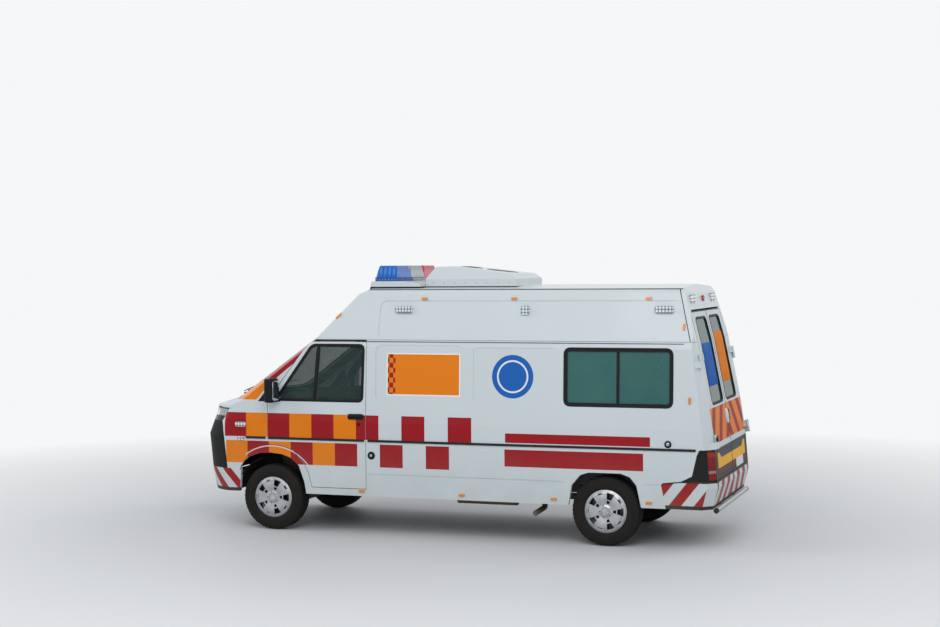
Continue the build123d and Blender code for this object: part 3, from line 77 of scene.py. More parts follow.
class Signal:
    """A number that varies over a surface. Each operator adds one Math node to its finish."""

    def __init__(self, finish, socket):
        self.finish = finish
        self.socket = socket

    def math(self, operation, *values):
        return self.finish.node("Math", {"operation": operation}, dict(enumerate(values)))

    def __add__(self, other):
        return self.math("ADD", self, other)

    def __sub__(self, other):
        return self.math("SUBTRACT", self, other)

    def __rsub__(self, other):
        return self.math("SUBTRACT", other, self)

    def __mul__(self, other):
        return self.math("MULTIPLY", self, other)

    def __truediv__(self, other):
        return self.math("DIVIDE", self, other)

    def __pow__(self, other):
        return self.math("POWER", self, other)

    def __gt__(self, other):
        return self.math("GREATER_THAN", self, other)

    def __lt__(self, other):
        return self.math("LESS_THAN", self, other)

    def __mod__(self, other):
        return self.math("FLOORED_MODULO", self, other)

    def __abs__(self):
        return self.math("ABSOLUTE", self)

    __radd__ = __add__
    __rmul__ = __mul__

    def floor(self):
        return self.math("FLOOR", self)

    def sine(self):
        return self.math("SINE", self)

    def lower(self, other):
        return self.math("MINIMUM", self, other)

    def higher(self, other):
        return self.math("MAXIMUM", self, other)

    def between(self, low, high):
        """1 where the value lies between the two, 0 elsewhere."""
        return (self > low) * (self < high)

    def ramp(self, low, high):
        """0 at low, 1 at high and a straight climb between them, held at both ends."""
        return self.finish.node("MapRange", {}, {0: self, 1: low, 2: high})


class Finish:
    """One surface finish: a Principled shader and the nodes that vary its colour, gloss and relief."""

    def __init__(self, name, constants=None):
        self.material = bpy.data.materials.new(name)
        self.material.use_nodes = True
        self.tree = self.material.node_tree
        self.shader = self.tree.nodes["Principled BSDF"]
        for socket, value in (constants or {}).items():
            self.shader.inputs[socket].default_value = value

    def node(self, kind, settings=None, sockets=None, output=0):
        """Adds one node: first its settings, then each socket's value or link."""
        made = self.tree.nodes.new("ShaderNode" + kind)
        for name, value in (settings or {}).items():
            setattr(made, name, value)
        for name, value in (sockets or {}).items():
            if isinstance(value, Signal):
                self.tree.links.new(value.socket, made.inputs[name])
            else:
                made.inputs[name].default_value = value
        return Signal(self, made.outputs[output])

    def place(self):
        """x, y and z of a point of the piece in metres: forward, to the left and up."""
        split = self.node("SeparateXYZ", {}, {0: self.node("TexCoord", output="Object")})
        return [Signal(self, split.socket.node.outputs[i]) for i in range(3)]

    def facing(self):
        """The x, y and z of the surface's own direction, which turns with the piece."""
        split = self.node("SeparateXYZ", {}, {0: self.node("TexCoord", output="Normal")})
        return [Signal(self, split.socket.node.outputs[i]) for i in range(3)]

    def noise(self, scale, detail=2.0):
        """Smooth random variation around a half; scale counts its cells in a metre."""
        point = self.node("TexCoord", output="Object")
        return self.node("TexNoise", {}, {"Vector": point, "Scale": scale, "Detail": detail})

    def mix(self, share, first, second):
        """The first colour where share is 0 and the second where it is 1."""
        return self.node("Mix", {"data_type": "RGBA"}, {0: share, 6: first, 7: second}, output=2)

    def feed(self, socket, value):
        """Links a value that varies over the surface to one of the shader's sockets."""
        self.tree.links.new(value.socket, self.shader.inputs[socket])

    def relief(self, height, depth, strength=1.0):
        """Raises the shading by height times depth, in metres."""
        bump = self.node("Bump", {}, {"Strength": strength, "Distance": depth, "Height": height})
        self.feed("Normal", bump)

    def wear(self, *names):
        """Puts the finish on these nodes of the model."""
        for name in names:
            for slot in nodes[name].material_slots:
                slot.material = self.material


def colour(red, green, blue):
    """A colour as it is given, 0 to 255, turned into the light it sends back."""
    shares = [value / 255 for value in (red, green, blue)]
    light = [s / 12.92 if s < 0.04045 else ((s + 0.055) / 1.055) ** 2.4 for s in shares]
    return (*light, 1.0)


surround_white = colour(246, 247, 248)
floor_half = 60.0
fade_start, fade_end = 3.6, 11.0
floor_mesh = bpy.data.meshes.new("studio_floor")
floor_mesh.from_pydata(
    [(floor_half * i, floor_half * j, 0) for i, j in ((-1, -1), (1, -1), (1, 1), (-1, 1))],
    [], [(0, 1, 2, 3)])
floor = bpy.data.objects.new("studio_floor", floor_mesh)
bpy.context.scene.collection.objects.link(floor)
floor_finish = Finish("studio_floor", {"Base Color": colour(206, 208, 210), "Roughness": 0.6})
floor_x, floor_y = floor_finish.place()[:2]
far_share = ((floor_x * floor_x + floor_y * floor_y) ** 0.5).ramp(fade_start, fade_end)
far_share = far_share * floor_finish.node("LightPath", output="Is Camera Ray")
glow = floor_finish.tree.nodes.new("ShaderNodeEmission")
glow.inputs["Color"].default_value = surround_white
fade = floor_finish.tree.nodes.new("ShaderNodeMixShader")
floor_finish.tree.links.new(far_share.socket, fade.inputs[0])
floor_finish.tree.links.new(floor_finish.shader.outputs[0], fade.inputs[1])
floor_finish.tree.links.new(glow.outputs[0], fade.inputs[2])
floor_finish.tree.links.new(fade.outputs[0], floor_finish.tree.nodes["Material Output"].inputs["Surface"])
floor_mesh.materials.append(floor_finish.material)

surround = bpy.data.worlds.new("surround")
bpy.context.scene.world = surround
surround.use_nodes = True
surround_nodes = surround.node_tree.nodes
surround_links = surround.node_tree.links
ambient = surround_nodes["Background"]
ambient.inputs["Color"].default_value = colour(228, 232, 238)
ambient.inputs["Strength"].default_value = 0.5
backdrop = surround_nodes.new("ShaderNodeBackground")
backdrop.inputs["Color"].default_value = surround_white
backdrop.inputs["Strength"].default_value = 1.0
ray = surround_nodes.new("ShaderNodeLightPath")
seen = ray.outputs["Is Camera Ray"]
for kind in ("Is Glossy Ray", "Is Transmission Ray"):
    either = surround_nodes.new("ShaderNodeMath")
    either.operation = "MAXIMUM"
    surround_links.new(seen, either.inputs[0])
    surround_links.new(ray.outputs[kind], either.inputs[1])
    seen = either.outputs[0]
choose = surround_nodes.new("ShaderNodeMixShader")
surround_links.new(seen, choose.inputs[0])
surround_links.new(ambient.outputs[0], choose.inputs[1])
surround_links.new(backdrop.outputs[0], choose.inputs[2])
surround_links.new(choose.outputs[0], surround_nodes["World Output"].inputs["Surface"])

# Each panel: its place, the point that it faces, its size and its power.
panels = (
    ((-3.0, 9.5, 8.0), (0.0, 0.0, 1.0), 8.0, 620.0),
    ((9.0, 3.0, 7.0), (0.0, 0.0, 1.0), 6.0, 330.0),
    ((-10.0, -5.0, 8.0), (0.0, 0.0, 1.0), 7.0, 420.0),
)
for number, (place, target, size, power) in enumerate(panels):
    panel = bpy.data.lights.new(f"panel_{number}", "AREA")
    panel.size = size
    panel.energy = power
    back = np.subtract(place, target)
    back /= np.linalg.norm(back)
    side = np.cross((0.0, 0.0, 1.0), back)
    side /= np.linalg.norm(side)
    stand(panel.name, panel, side, np.cross(back, side), back, place)


# The painted body: sides, roof, doors, wings, bonnet and nose.
# Pressed steel panels and a moulded roof in one cool white enamel. Cut vinyl is laid over it: two
# rows of red and orange squares, an orange panel with a checked edge, plain bars and chevrons.

white = colour(206, 215, 218)
lining_white = colour(196, 198, 194)
trim_grey = colour(58, 60, 62)
# Black for seams, rub strips and trim, and also for the painted shadow under the cab's drip rail.
seam_and_shadow_black = colour(22, 23, 24)
red_vinyl = colour(152, 4, 20)
orange_vinyl = colour(228, 124, 0)
blue_vinyl = colour(10, 92, 176)
yellow_vinyl = colour(238, 176, 20)
axle_x = 1.955
square_length = 0.2585
# Each row of squares: the front edge of its first square ahead of the front axle, its two heights,
# which square of a pair is red, how many have orange between them, and how many there are.
upper_row = (0.5505, 1.004, 1.264, 0, 7, 11)
lower_row = (0.5375, 0.719, 0.960, 1, 6, 10)


def squares(z, from_axle, row):
    """Masks of the red and of the orange squares of one row of a side."""
    front, low, high, red_turn, orange_count, count = row
    column = ((front - from_axle) / square_length).floor()
    within = z.between(low, high) * column.between(-0.5, count - 0.5)
    odd = column % 2.0
    red = odd if red_turn else 1 - odd
    return within * red, within * (1 - red) * (column < orange_count - 0.5)


def enamel(finish, decals_and_painted_light, shine=0.35):
    """White enamel under clear coat: decals, painted shadows and painted highlights as (mask, colour) in
    turn, road dust and faint waves.
    """
    height = finish.place()[2]
    base = finish.mix(finish.noise(1.2, 2.0), white, colour(200, 209, 212))
    for mask, tint in decals_and_painted_light:
        base = finish.mix(mask, base, tint)
    film = finish.noise(4.0, 5.0) * (1 - height.ramp(0.35, 1.05)) * 0.34
    base = finish.mix(film, base, colour(142, 134, 120))
    finish.feed("Base Color", base)
    finish.feed("Roughness", 0.30 + 0.4 * film + 0.05 * finish.noise(6.0))
    finish.feed("Coat Weight", (shine - film).higher(0.0))
    finish.relief(finish.noise(5.0, 1.0), 0.0030, 0.10)


def painted(name, gloss=0.22):
    """A finish for enamel, with its place ahead of the front axle, its y and z and its facing."""
    finish = Finish(name, {"IOR": 1.5, "Specular IOR Level": gloss, "Coat Roughness": 0.1, "Coat IOR": 1.35})
    x, y, z = finish.place()
    return finish, x - axle_x, y, z, finish.facing()


def oblong(x, z, lengths, heights, grow=0.0):
    """Mask of an upright oblong on a side, between two lengths and two heights, grown all round."""
    return x.between(lengths[0] - grow, lengths[1] + grow) * z.between(heights[0] - grow, heights[1] + grow)


# The two leaning edges of the sail plate: ahead of the front axle, height, and how much it leans.
sail_front, sail_rear = (0.155, 1.385, 0.80), (-0.118, 1.385, 0.24)
sail_heights = (1.386, 1.62)


def sail(x, z):
    """The black sail plate before the door window: between two leaning lines, from the belt up."""
    ahead = x + (z - sail_front[1]) * sail_front[2] < sail_front[0]
    behind = x - (z - sail_rear[1]) * sail_rear[2] > sail_rear[0]
    return ahead * behind * z.between(*sail_heights)


# Places on each side, ahead of the front axle and above the ground.
sign_lengths, sign_heights, sign_border = (-2.154, -1.357), (1.491, 1.910), 0.012
check_edge, check_length, check_height = -1.443, 0.043, 0.052
upper_bar, lower_bar = ((-4.172, -2.659), (1.019, 1.115)), ((-4.101, -2.651), (0.775, 0.950))
disc_x, disc_z, disc_radius, disc_ring = -2.735, 1.694, 0.222, (0.150, 0.168)
# The gutter band is a painted shadow under the drip rail.
rub_heights, gutter_shadow_heights, sill_top = (0.983, 1.009), (2.034, 2.044), 0.75
partition_x, cab_rear = -1.13, -1.12

side_paint, x, y, z, (nx, ny, nz) = painted("side_paint")
outside = (ny * y > 0.25) * (abs(y) > 0.74)
inside = ny * y < -0.2
red_mask, orange_mask = squares(z, x, upper_row)
low_red, low_orange = squares(z, x, lower_row)
sign = oblong(x, z, sign_lengths, sign_heights)
checks = sign * (x > check_edge) * (((x / check_length).floor() + (z / check_height).floor()) % 2.0)
bars = oblong(x, z, *upper_bar).higher(oblong(x, z, *lower_bar))
from_disc = ((x - disc_x) ** 2.0 + (z - disc_z) ** 2.0) ** 0.5
from_arch = ((x + 0.02) ** 2.0 + (z - 0.36) ** 2.0) ** 0.5
# A thin white line along the pressed edge over each front arch is a painted highlight on the crease.
arch_crease_highlight = from_arch.between(0.545, 0.556) * (z > 0.42) * (x < 0.3)
enamel(side_paint, (
    (inside * (x < partition_x), lining_white),
    (inside * (x > partition_x), trim_grey),
    (oblong(x, z, sign_lengths, sign_heights, sign_border) * outside, colour(236, 238, 238)),
    ((red_mask + low_red) * outside, red_vinyl),
    ((orange_mask + low_orange) * outside, orange_vinyl),
    (sign * outside, orange_vinyl),
    (checks * outside, red_vinyl),
    (bars * outside, red_vinyl),
    ((from_disc < disc_radius) * outside, blue_vinyl),
    (from_disc.between(*disc_ring) * outside, colour(226, 230, 232)),
    # Painted highlight on the arch's crease.
    (arch_crease_highlight * outside, white),
    (z.between(*rub_heights) * (abs(y) > 0.9505), seam_and_shadow_black),
    ((abs(nz) > 0.6) * (z < sill_top) * (x > 0.1), seam_and_shadow_black),
    (sail(x, z) * outside, seam_and_shadow_black),
    # Painted shadow under the drip rail.
    (z.between(*gutter_shadow_heights) * outside * (x < cab_rear), colour(88, 92, 94)),
))
side_paint.wear("left_body_side", "right_body_side", "front_wings", "left_front_door", "right_front_door")

roof_paint, x, y, z, (nx, ny, nz) = painted("roof_paint")
seam = z.between(2.577, 2.587) * (abs(y) > 0.60) * (x > -4.46)
corner = x + (z - 2.05) * -0.262 + 4.572
corner_seam = corner.between(-0.004, 0.006) * (z > 2.06) * (z < 2.587) * (abs(y) > 0.5)
enamel(roof_paint, (
    ((ny * y < -0.2).higher(nz < -0.5) * (z > 2.06), lining_white),
    (seam, seam_and_shadow_black),
    (corner_seam, seam_and_shadow_black),
    # Painted shade along the foot of the drip rail.
    (z.between(2.056, 2.0605) * (abs(y) > 0.7), colour(92, 96, 98)),
))
roof_paint.wear("high_roof")

pillar_paint, x, y, z, (nx, ny, nz) = painted("pillar_paint")
pillar = ((abs(y) > 0.792) * (nx > 0.25)).higher((abs(y) > 0.80) * (ny * y > 0.3))
# Vinyl up the pillar, cut along its leaning rear edge: orange at its foot, then red to the gutter.
foot_band = z.between(1.395, 1.608) * (x + (z - 1.388) * 0.867 > 0.185)
upper_band = z.between(1.608, 2.024) * (x + (z - 1.613) * 1.27 > -0.03)
# The dark band along the gutter is a painted shadow under the drip rail.
gutter_shadow = z.between(2.034, 2.0565) * (abs(y) > 0.82)
cowl_seam = z.between(1.404, 1.428) * (abs(y) < 0.80)
enamel(pillar_paint, (
    (nx < -0.3, trim_grey),
    (pillar * foot_band, orange_vinyl),
    (pillar * upper_band, red_vinyl),
    (sail(x, z) * (abs(y) > 0.8), seam_and_shadow_black),
    (gutter_shadow, seam_and_shadow_black),
    (cowl_seam, seam_and_shadow_black),
))
pillar_paint.wear("windscreen_frame")

nose_paint, x, y, z, (nx, ny, nz) = painted("nose_paint")
bonnet_panel = (nz > 0.2) * x.between(0.42, 0.775) * (abs(y) + (x - 0.42) * 0.32 < 0.80)
enamel(nose_paint, (
    (nz < -0.3, trim_grey),
    (bonnet_panel, colour(176, 22, 44)),
))
nose_paint.wear("nose_panel", "bonnet")

door_paint, x, y, z, (nx, ny, nz) = painted("rear_door_paint", 0.06)
back = nx < -0.3
chevrons = z.between(1.050, 1.395) * (abs(y) < 0.815)
leaning = ((z + 1.25 * abs(y) + 0.10) / 0.47) % 1.0 > 0.58
low_panel = z.between(0.60, 0.998)
band_half = 0.74
yellow_band = z.between(0.80, 0.955) * back * (abs(y) < band_half)
dark_band = z.between(0.744, 0.792) * back * (abs(y) < band_half)
notch = (z > 0.895) * (abs(y) - (z - 0.895) * 1.6 < 0.56)
rim = 0.878 - (z - 1.1).higher(0.0) * 0.1108
seal = (abs(y) > rim - 0.016).higher(z > 2.345).higher(abs(y) < 0.010)
enamel(door_paint, (
    (nx > 0.3, lining_white),
    (chevrons * back, orange_vinyl),
    (chevrons * leaning * back, red_vinyl),
    (low_panel * back, colour(24, 25, 28)),
    (yellow_band, yellow_vinyl),
    (dark_band, colour(96, 10, 16)),
    (low_panel * notch * back, colour(52, 56, 62)),
    (seal * (nx < 0.3) * (abs(y) < rim + 0.002), seam_and_shadow_black),
), 0.05)
door_paint.wear("left_rear_door", "right_rear_door")

plain_paint, x, y, z, (nx, ny, nz) = painted("plain_paint")
from_fan = (((x + 1.93) ** 2.0 + y ** 2.0) ** 0.5).lower(((x + 2.33) ** 2.0 + y ** 2.0) ** 0.5)
plinth_seam = z.between(2.56, 2.613) * (x > -3.0)
fans = (from_fan < 0.176) * (z > 2.70)
enamel(plain_paint, (
    ((nx > 0.5) * (x < -4.3), lining_white),
    (plinth_seam, seam_and_shadow_black),
    (fans, seam_and_shadow_black),
))
plain_paint.wear("rear_door_frame", "light_bar_plinth", "roof_air_conditioner")


# The bumpers, the dark nose fascia and the rear corner trims.
# Moulded plastic skins clipped to the body: the bumpers are white with slanting red sheeting and a
# black lower lip, and the fascia, its grille bars and the corner trims are left in grained black.

bumper_paint, x, y, z, (nx, ny, nz) = painted("bumper_paint", 0.1)
front_stripes = ((x - 0.9 * z) / 0.105).floor() % 2.0
rear_stripes = ((x + 0.8 * z) / 0.125).floor() % 2.0
across = ((abs(y) + 0.4 * z) / 0.15).floor() % 2.0
outer = ((abs(ny) > 0.4) * (ny * y > 0)).higher(nx * x > 0.2)
tail = nx < -0.6
enamel(bumper_paint, (
    (1 - outer.higher(tail), colour(34, 35, 36)),
    (front_stripes * (x > 0) * (abs(y) > 0.55) * outer, red_vinyl),
    (rear_stripes * (x < 0) * (1 - tail) * outer, red_vinyl),
    (across * tail * (abs(y) < 0.86), red_vinyl),
    (z < 0.446, seam_and_shadow_black),
    (z.between(0.672, 0.70) * (x < 0), seam_and_shadow_black),
), 0.1)
bumper_paint.wear("front_bumper", "rear_bumper")


def shaded(tint, share, extra=0.0):
    """The same colour with its light times share, plus extra, and never past full."""
    return (*(min(1.0, part * share + extra) for part in tint[:3]), 1.0)


def moulded(name, tint, roughness=0.55, grain=900.0):
    """Grained plastic: two close tones, fine pits and a little dust caught in the grain."""
    finish = Finish(name, {"Specular IOR Level": 0.2})
    cloud = finish.noise(3.0, 4.0)
    dust = (1 - finish.place()[2].ramp(0.3, 1.3)) * finish.noise(7.0, 4.0) * 0.14
    base = finish.mix(cloud, tint, shaded(tint, 1.5, 0.002))
    finish.feed("Base Color", finish.mix(dust, base, colour(104, 98, 88)))
    finish.feed("Roughness", roughness + 0.15 * cloud)
    finish.relief(finish.noise(grain, 2.0), 0.0005, 0.35)
    return finish


black_plastic = moulded("black_plastic", colour(12, 13, 15))
black_plastic.wear("front_grille", "rear_corner_trims", "left_mirror", "right_mirror")
rubber = moulded("window_rubber", colour(14, 14, 15), 0.48, 400.0)
rubber.wear("side_window_frames")


# The windows: windscreen, cab door glass, sliding side windows and the two rear door windows.
# Toughened glass with a green tint, darker behind the cab, held in black rubber mouldings that are
# pressed over the edge of each opening.


def glazing(name, tint, cover):
    """Tinted glass: the tint in slow clouds, cover as its share of opacity, and a faint film of dust."""
    finish = Finish(name, {"IOR": 1.45, "Specular IOR Level": 0.3})
    film = finish.noise(4.0, 5.0) * 0.10
    base = finish.mix(finish.noise(0.8, 2.0), tint, shaded(tint, 0.6))
    base = finish.mix(film, base, colour(150, 146, 134))
    finish.feed("Base Color", base)
    finish.feed("Alpha", (film + cover).lower(1.0))
    finish.feed("Roughness", 0.05 + 0.5 * film)
    return finish


glazing("cab_glass", colour(30, 66, 64), 0.42).wear(
    "windscreen", "left_front_door_glass", "right_front_door_glass")
glazing("side_glass", colour(58, 124, 120), 0.72).wear("side_window_glass")
glazing("rear_glass", colour(30, 92, 82), 0.80).wear("left_rear_door_glass", "right_rear_door_glass")


def quads(rows, columns):
    """Four-cornered faces between neighbouring points of a grid whose columns close on themselves."""
    row, column = np.meshgrid(np.arange(rows - 1), np.arange(columns), indexing="ij")
    here = (row * columns + column).ravel()
    beside = (row * columns + (column + 1) % columns).ravel()
    return np.stack([here, beside, beside + columns, here + columns], -1)


def build(name, grids, finish, body="root"):
    """One object from grids (rows, columns, 3) of points, merged where they meet and turned outwards."""
    points, faces, offset = [], [], 0
    for grid in grids:
        rows, columns = grid.shape[:2]
        points.append(grid.reshape(-1, 3))
        faces.append(quads(rows, columns) + offset)
        offset += rows * columns
    mesh = bpy.data.meshes.new(name)
    mesh.from_pydata(np.concatenate(points).tolist(), [], np.concatenate(faces).tolist())
    shape = bmesh.new()
    shape.from_mesh(mesh)
    bmesh.ops.remove_doubles(shape, verts=shape.verts, dist=1e-5)
    bmesh.ops.recalc_face_normals(shape, faces=shape.faces)
    shape.to_mesh(mesh)
    shape.free()
    mesh.polygons.foreach_set("use_smooth", np.ones(len(mesh.polygons), bool))
    mesh.set_sharp_from_angle(angle=math.radians(40))
    mesh.materials.append(finish.material)
    piece = bpy.data.objects.new(name, mesh)
    bpy.context.scene.collection.objects.link(piece)
    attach(piece, body)
    return piece


def rounded(corners, radius, steps=6):
    """Closed outline through corners (n, 2), each cut by a quadratic curve that starts radius away."""
    corners = np.asarray(corners, float)
    before, after = np.roll(corners, 1, 0), np.roll(corners, -1, 0)
    back = (before - corners) / np.linalg.norm(before - corners, axis=1, keepdims=True)
    ahead = (after - corners) / np.linalg.norm(after - corners, axis=1, keepdims=True)
    start, end = corners + radius * back, corners + radius * ahead
    share = np.linspace(0, 1, steps)[None, :, None]
    curve = (1 - share) ** 2 * start[:, None] + 2 * share * (1 - share) * corners[:, None] \
        + share ** 2 * end[:, None]
    return curve.reshape(-1, 2)


def squared(wave, power):
    """A wave's size raised to power, its sign kept: two of them make a rounded square of a circle."""
    return np.sign(wave) * np.abs(wave) ** power


def moulding(path, outward, width, lift):
    """A strip along a closed path: at each point an oval, width across it and lift along outward."""
    path = np.asarray(path, float)
    run = np.roll(path, -1, 0) - np.roll(path, 1, 0)
    run /= np.linalg.norm(run, axis=1, keepdims=True)
    outward = np.broadcast_to(np.asarray(outward, float), path.shape)
    across = np.cross(run, outward)
    across /= np.linalg.norm(across, axis=1, keepdims=True)
    turn = np.linspace(0, 2 * np.pi, 12, endpoint=False)[None, :, None]
    strip = path[:, None] + squared(np.cos(turn), 0.6) * across[:, None] * width / 2 \
        + squared(np.sin(turn), 0.6) * outward[:, None] * lift
    return np.concatenate([strip, strip[:1]])


def on_side(outline, lift=0.0, side=1):
    """Points (ahead of the axle, height) in millimetres laid on the outer skin of a side."""
    outline = np.asarray(outline, float)
    heights = (410, 1187, 1985, 2056, 2590)
    skin = np.interp(outline[:, 1], heights, (950, 950, 907, 890, 722)) / 1000 + lift
    return np.stack([outline[:, 0] / 1000 + axle_x, side * skin, outline[:, 1] / 1000], -1)


wheelbase = 3.7


def on_tail(outline, lift=0.0):
    """Points (to the left, height) in millimetres laid on the outer skin of the tail."""
    outline = np.asarray(outline, float)
    heights = (410, 620, 1010, 1165, 1240, 1335, 1400, 2056, 2540, 2640)
    behind = np.interp(outline[:, 1], heights, (1077, 1130, 1100, 1078, 1067, 1053, 1043, 916, 790, 730))
    tail_x = axle_x - wheelbase - behind / 1000 - lift
    return np.stack([tail_x, outline[:, 0] / 1000, outline[:, 1] / 1000], -1)


def evenly(outline, steps=60):
    """The same closed outline with its points spread evenly along it."""
    closed = np.vstack([outline, outline[:1]])
    length = np.concatenate([[0], np.cumsum(np.linalg.norm(np.diff(closed, axis=0), axis=1))])
    at = np.linspace(0, length[-1], steps, endpoint=False)
    return np.stack([np.interp(at, length, closed[:, 0]), np.interp(at, length, closed[:, 1])], -1)


# Openings in millimetres: ahead of the front axle, or to the left on the tail, and height.
door_light = evenly(rounded([(-60, 1410), (-483, 1997), (-1080, 1997), (-1068, 1410)], 46), 120)
side_light = evenly(rounded([(-3285, 1412), (-3285, 1988), (-4395, 1988), (-4395, 1412)], 60), 120)
rear_light = evenly(rounded([(650, 1425), (600, 2285), (80, 2285), (75, 1425)], 60), 100)
bedding = -0.004
rubber_lift = 0.007
sides = ((1, "left"), (-1, "right"))
for side, label in sides:
    level = (0, side, 0.05)
    for window, path, outward, width, body in (
            ("door", on_side(door_light, bedding, side), level, 0.034, f"{label}_front_door"),
            ("side", on_side(side_light, bedding, side), level, 0.022, "root"),
            ("rear", on_tail(rear_light * (side, 1), -0.005), (-1, 0, 0.2), 0.026, f"{label}_rear_door")):
        build(f"{label}_{window}_window_rubber", [moulding(path, outward, width, rubber_lift)], rubber, body)


# Handles, locks, filler cap and supply port on the sides, and the mirror glasses.
# Each is a small moulding or casting screwed to the skin: black handles with a pull bar, round
# locks, a filler cap with its lock, a supply port and convex silvered glass in the mirrors.


def mound(outline, place, height, rim, crown=0.0):
    """Raised plate in rows: under its middle, its foot, its edge, the top in from the rim, its middle."""
    outline = np.asarray(outline, float)
    centre = outline.mean(0)
    reach = np.linalg.norm(outline - centre, axis=1, keepdims=True)
    inward = centre + (outline - centre) * np.clip(1 - rim / reach, 0, 1)
    rows = [
        (centre + 0 * outline, bedding), (outline, bedding), (outline, height - rim * 0.0006),
        (inward, height), ((inward + centre) / 2, height + crown * 0.8),
        (centre + 0 * outline, height + crown)]
    return np.stack([place(points, lift) for points, lift in rows])


def raised(name, outline, place, height, rim, finish, body="root", crown=0.0):
    """One mound as a piece of its own."""
    return build(name, [mound(outline, place, height, rim, crown)], finish, body)


def side_place(side):
    """The way from an outline and a lift to points on the skin of that side."""
    return lambda points, lift: on_side(points, lift, side)


def circle(centre, radius, count=32):
    """Points round a circle: cosine and sine of even turns times the radius, in millimetres."""
    turn = np.linspace(0, 2 * np.pi, count, endpoint=False)
    return np.stack([centre[0] + radius * np.cos(turn), centre[1] + radius * np.sin(turn)], -1)


def rod(path, radius, count=12):
    """Round bar: a circle carried along the path, with its ends drawn together."""
    path = np.asarray(path, float)
    run = np.gradient(path, axis=0)
    run /= np.linalg.norm(run, axis=1, keepdims=True)
    rough = np.where(np.abs(run[:, :1]) < 0.9, [[1.0, 0, 0]], [[0, 1.0, 0]])
    across = np.cross(run, rough)
    across /= np.linalg.norm(across, axis=1, keepdims=True)
    over = np.cross(across, run)
    turn = np.linspace(0, 2 * np.pi, count, endpoint=False)
    ring = np.cos(turn)[None, :, None] * across[:, None] + np.sin(turn)[None, :, None] * over[:, None]
    body = path[:, None] + radius * ring
    return np.concatenate([path[:1, None] + 0 * ring[:1], body, path[-1:, None] + 0 * ring[-1:]])


def mottled(name, constants, first, second, tone, least, spread, gloss=None):
    """Two colours in noise of tone, and a roughness that rises from least by spread times a noise.

    tone and gloss are cells in a metre and detail; without gloss both follow the same noise.
    """
    finish = Finish(name, constants)
    finish.feed("Base Color", finish.mix(finish.noise(*tone), first, second))
    finish.feed("Roughness", least + spread * finish.noise(*(gloss or tone)))
    return finish


bright_metal = mottled("bright_metal", {"Metallic": 1.0}, colour(196, 199, 202), colour(150, 152, 154),
                       (20.0, 4.0), 0.22, 0.25, (60.0, 4.0))
silvered = mottled("silvered_glass", {"Metallic": 1.0}, colour(200, 208, 212), colour(170, 178, 182),
                   (3.0, 4.0), 0.03, 0.06, (8.0, 4.0))

handle_plate = rounded([(-905, 1215), (-905, 1275), (-1090, 1275), (-1090, 1215)], 26)
pull_path = ((-0.92, 0.962), (-0.95, 0.974), (-1.04, 0.974), (-1.07, 0.962))
pull_height, pull_radius = 1.252, 0.009
quarter_edge = evenly(rounded([(-499, 1402), (-545, 1992), (-567, 1992), (-524, 1402)], 6), 60)
quarter_bar = rounded([(-501, 1404), (-545, 1990), (-565, 1990), (-523, 1404)], 5)
mirror_base = evenly(rounded([(124, 1402), (30, 1402), (-30, 1500), (-52, 1560), (-30, 1560)], 14), 60)
mirror_edge = rounded([(1000, 1412), (1000, 1622), (1146, 1622), (1146, 1412)], 26)
mirror_back = -0.1305


def on_mirror(points, lift):
    """Points (to the left, height) in millimetres laid on the back of the mirror's housing."""
    glass_x = np.full(len(points), axle_x + mirror_back) - lift
    return np.stack([glass_x, points[:, 0] / 1000, points[:, 1] / 1000], -1)


for side, label in sides:
    place = side_place(side)
    body = f"{label}_front_door"
    pull = rod([(axle_x + ahead, side * out, pull_height) for ahead, out in pull_path], pull_radius)
    build(f"{label}_cab_door_handle", [mound(handle_plate, place, 0.008, 8), pull], black_plastic, body)
    raised(f"{label}_cab_door_lock", circle((-1032, 1165), 17), place, 0.006, 4, black_plastic, body)
    build(f"{label}_quarter_bar", [
        moulding(on_side(quarter_edge, bedding, side), (0, side, 0.05), 0.012, rubber_lift),
        mound(quarter_bar, place, 0.002, 2)], rubber, body)
    raised(f"{label}_mirror_base", mirror_base, place, 0.006, 6, black_plastic, body)
    raised(f"{label}_mirror_glass", mirror_edge * (side, 1), on_mirror, 0.004, 5, silvered, body, 0.001)
filler_place, port_place = (-1175, 841), (-4352, 1050)
for name, centre, radius, height, finish in (
        ("left_filler_cap", filler_place, 42, 0.010, black_plastic),
        ("left_filler_lock", filler_place, 14, 0.016, bright_metal),
        ("left_supply_port", port_place, 36, 0.010, black_plastic),
        ("left_port_eye", port_place, 17, 0.015, bright_metal)):
    raised(name, circle(centre, radius), side_place(1), height, radius * 0.25, finish)


# Rear doors: a white oval handle by the split, a black latch, window patches and a blank plate.
# The handle and latch are castings and the plate is sheet, screwed to the doors; the patches are
# cut vinyl stuck to the glass. All ride with their door.

handle = circle((0, 0), 1, 40) * (52, 78) + (62, 1268)
raised("rear_handle", handle, on_tail, 0.022, 12, plain_paint, "left_rear_door", 0.002)
patch_near, patch_far, patch_foot = 120, 560, 1600


def on_rear_glass(points, lift):
    """Points (to the left, height) in millimetres laid on the rear glass, in from the skin."""
    return on_tail(points, lift - 0.0085)


